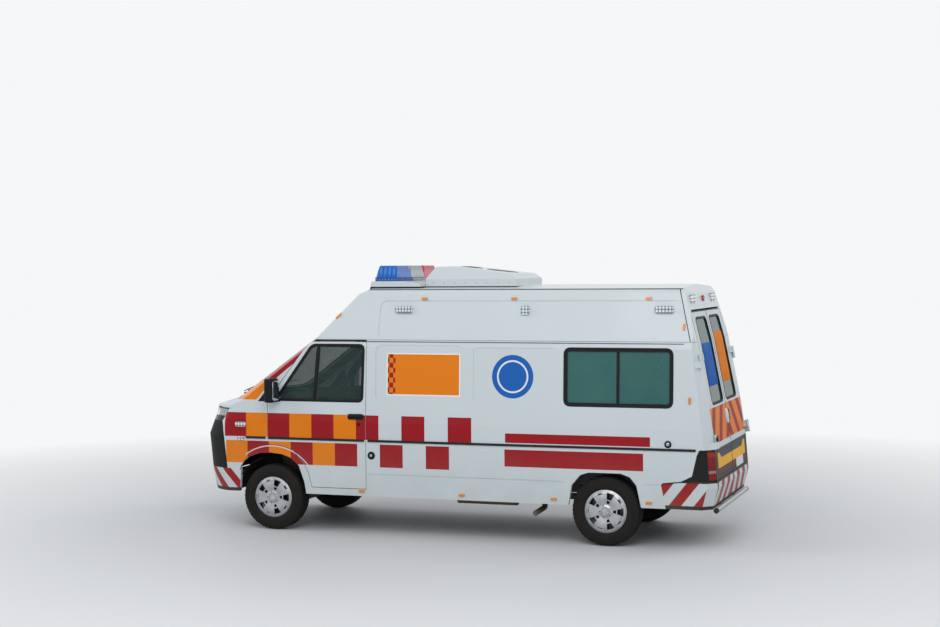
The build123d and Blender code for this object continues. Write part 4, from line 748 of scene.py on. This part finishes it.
for (side, label), tint, patch_top in zip(sides, (blue_vinyl, orange_vinyl), (2030, 2120)):
    patch = mottled(f"{label}_window_vinyl", {"Specular IOR Level": 0.08}, tint, shaded(tint, 0.86),
                    (4.0, 3.0), 0.5, 0.1)
    corners = [
        (patch_near, patch_foot), (patch_near, patch_top), (patch_far, patch_top), (patch_far, patch_foot)]
    outline = evenly(rounded(corners, 8), 48) * (side, 1)
    raised(f"{label}_window_patch", outline, on_rear_glass, 0.001, 3, patch, f"{label}_rear_door")
latch = rounded([(-18, 1330), (-18, 1212), (-74, 1212), (-74, 1330)], 22)
raised("rear_latch", latch, on_tail, 0.014, 8, black_plastic, "right_rear_door")
plate_finish = mottled("plate_sheet", {}, colour(222, 224, 222), colour(206, 208, 206), (60.0, 3.0), 0.4, 0.2)
plate = rounded([(-190, 712), (-190, 800), (-560, 800), (-560, 712)], 8)
raised("rear_plate", plate, on_tail, 0.006, 3, plate_finish, "right_rear_door")


# The windscreen's rubber, its two wipers, and the radiator that shows through the grille.
# The rubber is one extruded moulding; each wiper is a black steel arm with a rubber-edged blade;
# the radiator is a black finned core between two tanks.


def on_screen(outline, lift):
    """Points (to the left, height) in millimetres carried back along X onto the windscreen."""
    hits = [nodes["windscreen"].ray_cast((4.0, y / 1000, z / 1000), (-1.0, 0.0, 0.0))[1] for y, z in outline]
    return np.array([tuple(hit) for hit in hits]) + np.array([lift, 0.0, lift * 1.5])


def block(centre, half, power=5.0, rows=17, columns=40):
    """Rounded block: sines and cosines of two angles, raised to 2 / power, times the half sizes."""
    lean = np.linspace(-np.pi / 2, np.pi / 2, rows)[:, None]
    turn = np.linspace(0, 2 * np.pi, columns, endpoint=False)[None, :]
    level, along, across, rise = [
        squared(wave, 2 / power) for wave in (np.cos(lean), np.cos(turn), np.sin(turn), np.sin(lean))]
    return np.stack([
        centre[0] + half[0] * level * along,
        centre[1] + half[1] * level * across,
        centre[2] + half[2] * rise + 0 * turn], -1)


def plate_shell(face, back):
    """Thin closed shell: a grid of points and the same grid set back, joined round all four edges."""
    ring = np.concatenate([face, back[:, ::-1]], 1)
    pinch = np.concatenate([face, face[:, ::-1]], 1)
    return np.concatenate([pinch[:1], ring, pinch[-1:]])


screen_edge = evenly(rounded([(779, 1441), (721, 2015), (-721, 2015), (-779, 1441)], 66), 160)
build("windscreen_rubber", [moulding(on_screen(screen_edge, 0.001), (0.55, 0, 0.83), 0.018, 0.005)], rubber)
# Each wiper: how far left its pivot and the two ends of its blade stand, in millimetres.
pivot_height = 1444
for label, foot, near, far in (("left", 640, 600, 60), ("right", -20, -60, -600)):
    blade = np.stack([np.linspace(near, far, 24), np.linspace(1462, 1500, 24)], -1)
    arm = np.stack([np.linspace(foot, (near + far) / 2, 16), np.linspace(pivot_height, 1481, 16)], -1)
    pivot = on_screen([(foot, pivot_height)], 0.0)[0] + (0.004, 0, 0)
    build(f"{label}_wiper", [
        rod(on_screen(blade, 0.009), 0.006), rod(on_screen(arm, 0.019), 0.005),
        block(pivot, (0.017, 0.017, 0.017), 2.4, 11, 24)], black_plastic)
radiator_front, radiator_rear, fin_pitch = 2.630, 2.605, 0.010
core_y, core_z = np.meshgrid(np.linspace(-0.60, 0.60, 121), np.linspace(0.60, 1.14, 217), indexing="xy")
fins = 0.005 * np.abs(np.sin(core_z * np.pi / fin_pitch)) * (np.abs(core_y) < 0.56)
tanks = 0.012 * (np.abs(core_y) > 0.565)
face = np.stack([radiator_front + fins + tanks, core_y, core_z], -1)
build("radiator", [plate_shell(face, face * (0, 1, 1) + (radiator_rear, 0, 0))], black_plastic)


# Lamps: headlamps, wing lamps, side markers, tail lamps and the lamps of the high roof.
# Moulded lenses over bright reflectors. Markers are amber, tail lamps dark red with an amber and a
# clear band, and the scene lamps show rows of small emitters behind a clear cover.


def lens(name, shallow, recess_shade, pitch):
    """Fluted lens: two tones in round cells of pitch along x and z, and red in the tail's middle."""
    finish = Finish(name, {"Coat Weight": 0.5, "Coat Roughness": 0.04, "Specular IOR Level": 0.3})
    x, y, z = finish.place()
    u = (x / pitch) % 1.0 - 0.5
    v = (z / pitch) % 1.0 - 0.5
    spot = 1 - ((u * u + v * v) ** 0.5).ramp(0.18, 0.48)
    cloud = finish.noise(12.0, 3.0)
    middle = (x < -2.4) * (abs(y) < 0.05)
    tone = finish.mix((spot + 0.3 * cloud).lower(1.0), recess_shade, shallow)
    finish.feed("Base Color", finish.mix(middle, tone, colour(170, 12, 20)))
    finish.feed("Roughness", 0.12 + 0.2 * cloud)
    finish.relief(spot, 0.002, 0.5)
    return finish


amber = lens("amber_lens", colour(238, 150, 30), colour(196, 92, 6), 0.012)
amber.wear("side_markers")
scene_lamp = lens("scene_lamp_lens", colour(236, 240, 242), colour(92, 98, 102), 0.034)
scene_lamp.wear("roof_lamps")

# In each headlamp stand the main bulb and, outboard of it, the turning lamp's.
head_lens = Finish("headlamp_lens", {"Coat Roughness": 0.03, "Specular IOR Level": 0.25})
main_bulb, turn_bulb, bulb_height, flute_pitch = 0.66, 0.80, 1.235, 0.022
y, z = head_lens.place()[1:]
flute = abs((y / flute_pitch) % 1.0 - 0.5)
from_main = ((abs(y) - main_bulb) ** 2.0 + (z - bulb_height) ** 2.0) ** 0.5
from_turn = ((abs(y) - turn_bulb) ** 2.0 + (z - bulb_height) ** 2.0) ** 0.5
bowls = from_main.between(0.0, 0.052).higher(from_turn < 0.045)
housing = (z < 1.222).higher(z > 1.296)
shade = head_lens.mix(flute, colour(120, 126, 130), colour(214, 220, 222))
shade = head_lens.mix(bowls, shade, colour(236, 240, 242))
head_lens.feed("Base Color", head_lens.mix(housing, shade, colour(24, 25, 27)))
head_lens.feed("Roughness", 0.08 + 0.3 * flute + 0.05 * head_lens.noise(20.0))
head_lens.feed("Metallic", (0.75 - 0.5 * bowls) * (1 - housing))
head_lens.feed("Coat Weight", 0.5 * (1 - housing))
head_lens.relief(flute, 0.002, 0.4)
head_lens.wear("headlamps")

tail_lens = Finish("tail_lamp_lens", {
    "Coat Weight": 0.5, "Coat Roughness": 0.05, "Specular IOR Level": 0.25})
z = tail_lens.place()[2]
rib = abs((z / 0.014) % 1.0 - 0.5)
shade = tail_lens.mix(rib, colour(138, 6, 14), colour(76, 4, 8))
shade = tail_lens.mix(z.between(0.932, 0.972), shade, colour(150, 40, 8))
shade = tail_lens.mix(z.between(0.768, 0.796), shade, colour(150, 120, 118))
tail_lens.feed("Base Color", shade)
tail_lens.feed("Roughness", 0.14 + 0.2 * tail_lens.noise(25.0))
tail_lens.relief(rib, 0.002, 0.5)
tail_lens.wear("tail_lamps")

wing_lamp = rounded([(420, 1108), (420, 1162), (292, 1162), (292, 1108)], 26)
repeater = rounded([(398, 962), (398, 1000), (312, 1000), (312, 962)], 18)
slope_marker = rounded([(-721, 2288), (-736, 2272), (-791, 2324), (-776, 2340)], 5)
for side, label in sides:
    place = side_place(side)
    raised(f"{label}_wing_lamp", wing_lamp, place, 0.016, 8, scene_lamp, crown=0.002)
    raised(f"{label}_side_repeater", repeater, place, 0.012, 6, scene_lamp, crown=0.002)
    raised(f"{label}_slope_marker", slope_marker, place, 0.008, 3, amber)


# The tyres and the wheels.
# Each tyre is moulded black rubber with ribbed tread blocks, worn smooth on the crown and dusty on
# the walls; each wheel is steel behind a silver-painted five-petal cover, with painted shade
# inside its windows.

# Half of the tyre's section: across from its middle, and out from the hub.
tyre_radius, tyre_middle, bead_radius = 0.3515, 0.808, 0.192
profile = np.array([
    (0, bead_radius), (0.070, bead_radius), (0.080, 0.208), (0.098, 0.232), (0.1065, 0.262),
    (0.1045, 0.296), (0.0985, 0.322), (0.0925, 0.337), (0.088, 0.345), (0.080, 0.348),
    (0.066, 0.3495), (0.062, 0.3498), (0.061, 0.3432), (0.053, 0.3432), (0.052, 0.3502),
    (0.028, 0.3508), (0.027, 0.3436), (0.019, 0.3436), (0.018, 0.351), (0, 0.3512),
])
profile = np.vstack([profile, profile[-2:0:-1] * np.array([-1, 1])])
# One tread block takes five of the steps round the tyre, and at the shoulder two of them are open.
steps = 240
block_steps, open_steps = 5, 2
turn = np.linspace(0, 2 * np.pi, steps, endpoint=False)
step = np.arange(steps)[:, None]
crown = np.clip((np.abs(profile[:, 0]) < 0.09) & (profile[:, 1] > 0.344), 0, 1)[None, :]
groove = crown * 0.0055 * (((step + np.where(profile[None, :, 0] > 0, open_steps, 0)) % block_steps) == 0)
shoulder = ((np.abs(profile[:, 0]) > 0.088) & (profile[:, 1] > 0.31))[None, :]
groove = groove + shoulder * 0.0035 * ((step % block_steps) < open_steps)
radius = profile[None, :, 1] - groove
tread = Finish("tyre_rubber", {"Specular IOR Level": 0.2})
chalk = tread.noise(14.0, 5.0)
tread.feed("Base Color", tread.mix(
    (chalk * 0.7 + 0.1 * tread.noise(80.0)).lower(1.0), colour(11, 11, 12), colour(46, 44, 40)))
tread.feed("Roughness", 0.72 + 0.2 * chalk)
tread.relief(tread.noise(700.0, 2.0), 0.0006, 0.3)
for end, hub_x in (("front", axle_x), ("rear", axle_x - wheelbase)):
    for side, label in sides:
        rings = np.stack([
            hub_x + radius * np.cos(turn)[:, None],
            side * tyre_middle + profile[None, :, 0] + 0 * radius,
            tyre_radius + radius * np.sin(turn)[:, None]], -1)
        rings = np.concatenate([rings, rings[:1]])
        tyre = build(f"{label}_{end}_tyre_rubber", [rings], tread, f"{label}_{end}_wheel")
        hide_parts(f"{label}_{end}_tyre")

petals_per_radian = 0.7958
for end, hub_x in (("front", axle_x), ("rear", axle_x - wheelbase)):
    silver = Finish(f"{end}_wheel_silver", {"Coat Weight": 0.4, "Coat Roughness": 0.12})
    x, y, z = silver.place()
    from_hub = ((x - hub_x) ** 2.0 + (z - tyre_radius) ** 2.0) ** 0.5
    # Everything set back behind the cover's face is painted near black: painted shade in the recesses.
    recess_shade = 1 - (abs(y) - tyre_middle).ramp(0.070, 0.092)
    steel = silver.mix(silver.noise(18.0, 4.0), colour(206, 209, 212), colour(176, 180, 184))
    grime = (silver.noise(11.0, 4.0) * 0.45 + from_hub.ramp(0.19, 0.22) * 0.3).lower(1.0)
    steel = silver.mix(grime, steel, colour(96, 92, 86))
    around = x.math("ARCTAN2", z - tyre_radius, x - hub_x) * petals_per_radian
    petal = abs((around + 4.0) % 1.0 - 0.5)
    bolts = from_hub.between(0.052, 0.068) * (abs((around + 4.5) % 1.0 - 0.5) < 0.055)
    lines = from_hub.between(0.040, 0.044).higher(from_hub.between(0.174, 0.177)).higher(bolts)
    steel = silver.mix(lines, steel, colour(52, 53, 55))
    silver.feed("Base Color", silver.mix(recess_shade, steel, colour(18, 18, 19)))
    silver.feed("Metallic", 0.8 - 0.75 * recess_shade)
    silver.relief(petal * (from_hub < 0.17) * 0.5 - lines * 0.2, 0.012, 0.6)
    silver.feed("Roughness", 0.32 + 0.3 * grime)
    silver.wear(f"left_{end}_wheel", f"right_{end}_wheel")


# The front wheel arches: a liner over the front half of each wheel, with the wall behind it.
# Each is one thin black plastic moulding, rippled across for stiffness and clipped under the wing.

# The liner's section: how far out from the middle of the van, and how far from the hub.
liner_turn = np.radians(np.linspace(9, 76, 40))[:, None]
section_y = np.array([0.930, 0.80, 0.66, 0.54, 0.510, 0.500, 0.500, 0.500])[None, :]
section_r = np.array([0.432, 0.434, 0.434, 0.432, 0.420, 0.390, 0.320, 0.250])[None, :]
ripple = 0.0025 * np.sin(liner_turn * 60) * (section_y > 0.55)
for side, label in sides:
    shells = []
    for thick in (0.0, 0.004):
        reach = section_r + ripple + thick * (section_y > 0.505)
        across = side * (section_y - thick * (section_y <= 0.54)) + 0 * reach
        shells.append(np.stack([
            axle_x + reach * np.cos(liner_turn), across, tyre_radius + reach * np.sin(liner_turn)], -1))
    build(f"{label}_arch_liner", [plate_shell(*shells)], black_plastic)


# The running gear: frame, axles, springs, knuckles, engine, tank, exhaust and the rear step.
# Black-painted rails, forged and cast iron under road dirt, heat-browned exhaust steel, and a
# polished step bar with black end caps.


def iron(name, tint, metal, roughness):
    """Dirty metal: the tint in clouds, rust specks and dry mud that thins with height."""
    finish = Finish(name)
    mud = (1 - finish.place()[2].ramp(0.15, 0.75)) * finish.noise(6.0, 5.0)
    rust = finish.noise(38.0, 5.0).ramp(0.56, 0.72) * 0.6
    base = finish.mix(finish.noise(4.0, 3.0), tint, shaded(tint, 0.6))
    base = finish.mix(rust, base, colour(92, 54, 34))
    finish.feed("Base Color", finish.mix((mud * 0.9).lower(1.0), base, colour(108, 98, 82)))
    finish.feed("Metallic", (metal - mud).higher(0.0))
    finish.feed("Roughness", roughness + 0.25 * mud)
    finish.relief(finish.noise(220.0, 4.0), 0.0012, 0.4)
    return finish


iron("chassis_black", colour(34, 34, 35), 0.1, 0.5).wear("chassis_frame", "fuel_tank")
iron("cast_iron", colour(60, 60, 61), 0.5, 0.55).wear(
    "front_axle", "rear_axle", "leaf_springs", "left_knuckle", "right_knuckle", "engine")
iron("exhaust_steel", colour(118, 104, 90), 0.8, 0.42).wear("exhaust")
step_finish = Finish("step_bar", {"IOR": 1.5})
x, y = step_finish.place()[:2]
cap = (abs(y) > 0.812) * (x < -2.77)
scuffs = step_finish.noise(60.0, 5.0)
step_finish.feed("Base Color", step_finish.mix(cap, step_finish.mix(
    scuffs, colour(186, 190, 193), colour(140, 142, 143)), colour(26, 26, 27)))
step_finish.feed("Metallic", 0.95 - 0.95 * cap)
step_finish.feed("Roughness", 0.25 + 0.25 * scuffs + 0.3 * cap)
step_finish.wear("rear_step")


# The roof: light bar on its plinth, and the air conditioner's hood.
# Blue, clear and red polycarbonate domes over a shared tray of small lamps; the hood is white
# moulding riveted along its foot, with black fan grilles let into its top.

dome = Finish("beacon_domes", {"Coat Weight": 0.3, "Coat Roughness": 0.05, "Specular IOR Level": 0.25})
x, y, z = dome.place()
tray = 1 - (z > 2.7115)
cell = ((((x + 0.02) / 0.05) % 1.0 - 0.5) ** 2.0 + ((y / 0.05) % 1.0 - 0.5) ** 2.0) ** 0.5
glint = (1 - cell.ramp(0.1, 0.42)) * 0.5
low_cell = ((((x + y) / 0.036) % 1.0 - 0.5) ** 2.0 + (((z - 2.672) / 0.036) % 1.0 - 0.5) ** 2.0) ** 0.5
low_glint = (1 - low_cell.ramp(0.12, 0.4)) * 0.7
lit = (glint + tray * low_glint).lower(1.0)
blue_dome = dome.mix(lit, colour(2, 90, 180), colour(92, 164, 228))
clear_dome = dome.mix(lit, colour(150, 158, 164), colour(226, 232, 236))
red_dome = dome.mix(lit, colour(196, 58, 76), colour(238, 160, 170))
shade = dome.mix(y > -0.2, red_dome, clear_dome)
shade = dome.mix(y > 0.2, shade, blue_dome)
shade = dome.mix(tray * (1 - low_glint) * 0.55, shade, colour(40, 46, 60))
dome.feed("Base Color", shade)
dome.feed("Roughness", 0.12 + 0.2 * dome.noise(30.0))
dome.relief(glint, 0.003, 0.3)
dome.wear("light_bar")
rivet_half, rivet_height, rivet_side = (0.0075, 0.003, 0.0075), 2.652, 0.4515
for side, label in sides:
    build(f"{label}_hood_rivets", [
        block((axle_x + ahead, side * rivet_side, rivet_height), rivet_half, 2.0, 9, 16)
        for ahead in np.linspace(-1.70, -2.55, 8)], bright_metal)


# The cab: dashboard, steering wheel, seats and partition seen through the glass.
# Grained grey mouldings, woven cloth cushions with sewn channels on painted steel frames, and a
# white laminate wall behind with a window in it.

moulded("dash_plastic", colour(52, 54, 57), 0.6, 500.0).wear("dashboard")
moulded("wheel_grip", colour(28, 28, 29), 0.5, 500.0).wear("steering_wheel")
iron("seat_steel", colour(44, 45, 47), 0.1, 0.5).wear("cab_seat_frames")


def woven(name, tint, pitch):
    """Cloth: two sets of threads crossing, each a sine of the place, in clouds of a second tone."""
    finish = mottled(name, {"Sheen Weight": 0.3, "Specular IOR Level": 0.2}, tint, shaded(tint, 0.65),
                     (9.0, 3.0), 0.8, 0.1)
    x, y, z = finish.place()
    threads = 6.283 / pitch
    finish.relief(((x + z) * threads).sine() * (y * threads).sine(), 0.0008, 0.5)
    return finish


def cushion(centre, half, lean=0.0, channels=0, power=3.6):
    """Crowned pad: a rounded block whose top swells by the product of two falling powers.

    Bell curves pinch it along its edge and channels, and lean turns it about Y.
    """
    grid = block((0, 0, 0), (1, 1, 1), power, 41, 96)
    u, v, w = grid[..., 0], grid[..., 1], grid[..., 2]
    dome = 0.12 * (1 - np.abs(u) ** 2.5) * (1 - np.abs(v) ** 2.5)
    seams = 0.05 * np.exp(-((np.abs(v) - 0.62) / 0.035) ** 2)
    if channels:
        seams = seams + 0.04 * np.exp(-(((u * channels / 2) % 1.0 - 0.5) / 0.06) ** 2) * (np.abs(v) < 0.58)
    w = np.where(w > 0, w * (0.88 + dome - seams), w)
    x, y, z = half[0] * u, half[1] * v, half[2] * w
    c, s = math.cos(lean), math.sin(lean)
    return np.stack([centre[0] + c * x + s * z, centre[1] + y, centre[2] - s * x + c * z], -1)


seat_cloth = woven("seat_cloth", colour(54, 56, 62), 0.004)
seat_parts = []
for side in (1, -1):
    seat_parts += [
        cushion((axle_x - 0.785, side * 0.43, 0.942), (0.215, 0.236, 0.060), 0.0, 3),
        cushion((axle_x - 1.080, side * 0.43, 1.240), (0.350, 0.236, 0.040), 1.48, 5),
        cushion((axle_x - 1.124, side * 0.43, 1.690), (0.086, 0.126, 0.030), 1.50),
    ]
seats = build("cab_seat_pads", seat_parts, seat_cloth)
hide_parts("cab_seat_cushions")

laminate = mottled(
    "white_laminate", {"Coat Weight": 0.3, "Coat Roughness": 0.15}, colour(206, 207, 203),
    colour(190, 191, 188), (120.0, 2.0), 0.35, 0.1, (6.0, 3.0))
laminate.wear("partition_wall", "cabinets")


# The patient compartment: floor, stretcher, bench and their vinyl pads.
# Chequered grey floor sheet on steel, a bright tube stretcher on rubber castors, and sewn vinyl
# pads over foam, blue on the stretcher and on the bench.

floor_sheet = mottled("floor_sheet", {"Specular IOR Level": 0.4}, colour(104, 107, 110), colour(76, 78, 80),
                      (5.0, 4.0), 0.5, 0.2, (12.0, 3.0))
x, y = floor_sheet.place()[:2]
stud_pitch = 0.03
stud = abs(((x + y) / stud_pitch) % 1.0 - 0.5) * abs(((x - y) / stud_pitch) % 1.0 - 0.5)
floor_sheet.relief(stud, 0.003, 0.6)
floor_sheet.wear("floor_pan")
tube = Finish("stretcher_tube", {"IOR": 1.5})
y, z = tube.place()[1:]
rubber_wheel = (z < 0.765) * (1 - (abs(y + 0.32) < 0.16))
steel = tube.mix(tube.noise(40.0, 4.0), colour(188, 191, 194), colour(150, 152, 154))
tube.feed("Base Color", tube.mix(rubber_wheel, steel, colour(30, 30, 31)))
tube.feed("Metallic", 0.9 - 0.9 * rubber_wheel)
tube.feed("Roughness", 0.28 + 0.3 * tube.noise(25.0, 4.0))
tube.wear("stretcher")
vinyl = mottled("pad_vinyl", {"Coat Weight": 0.25, "Coat Roughness": 0.3}, colour(24, 62, 116),
                colour(18, 46, 92), (22.0, 5.0), 0.42, 0.15)
vinyl.relief(vinyl.noise(500.0, 3.0), 0.0006, 0.4)
mattress = cushion((axle_x - 3.285, -0.32, 1.1003), (0.962, 0.258, 0.0385), 0.0, 4, 6.0)
bench_pad = cushion((axle_x - 3.33, 0.6875, 1.0753), (0.918, 0.200, 0.0335), 0.0, 6, 6.0)
pads = build("patient_pads", [mattress, bench_pad], vinyl)
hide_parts("patient_cushions")
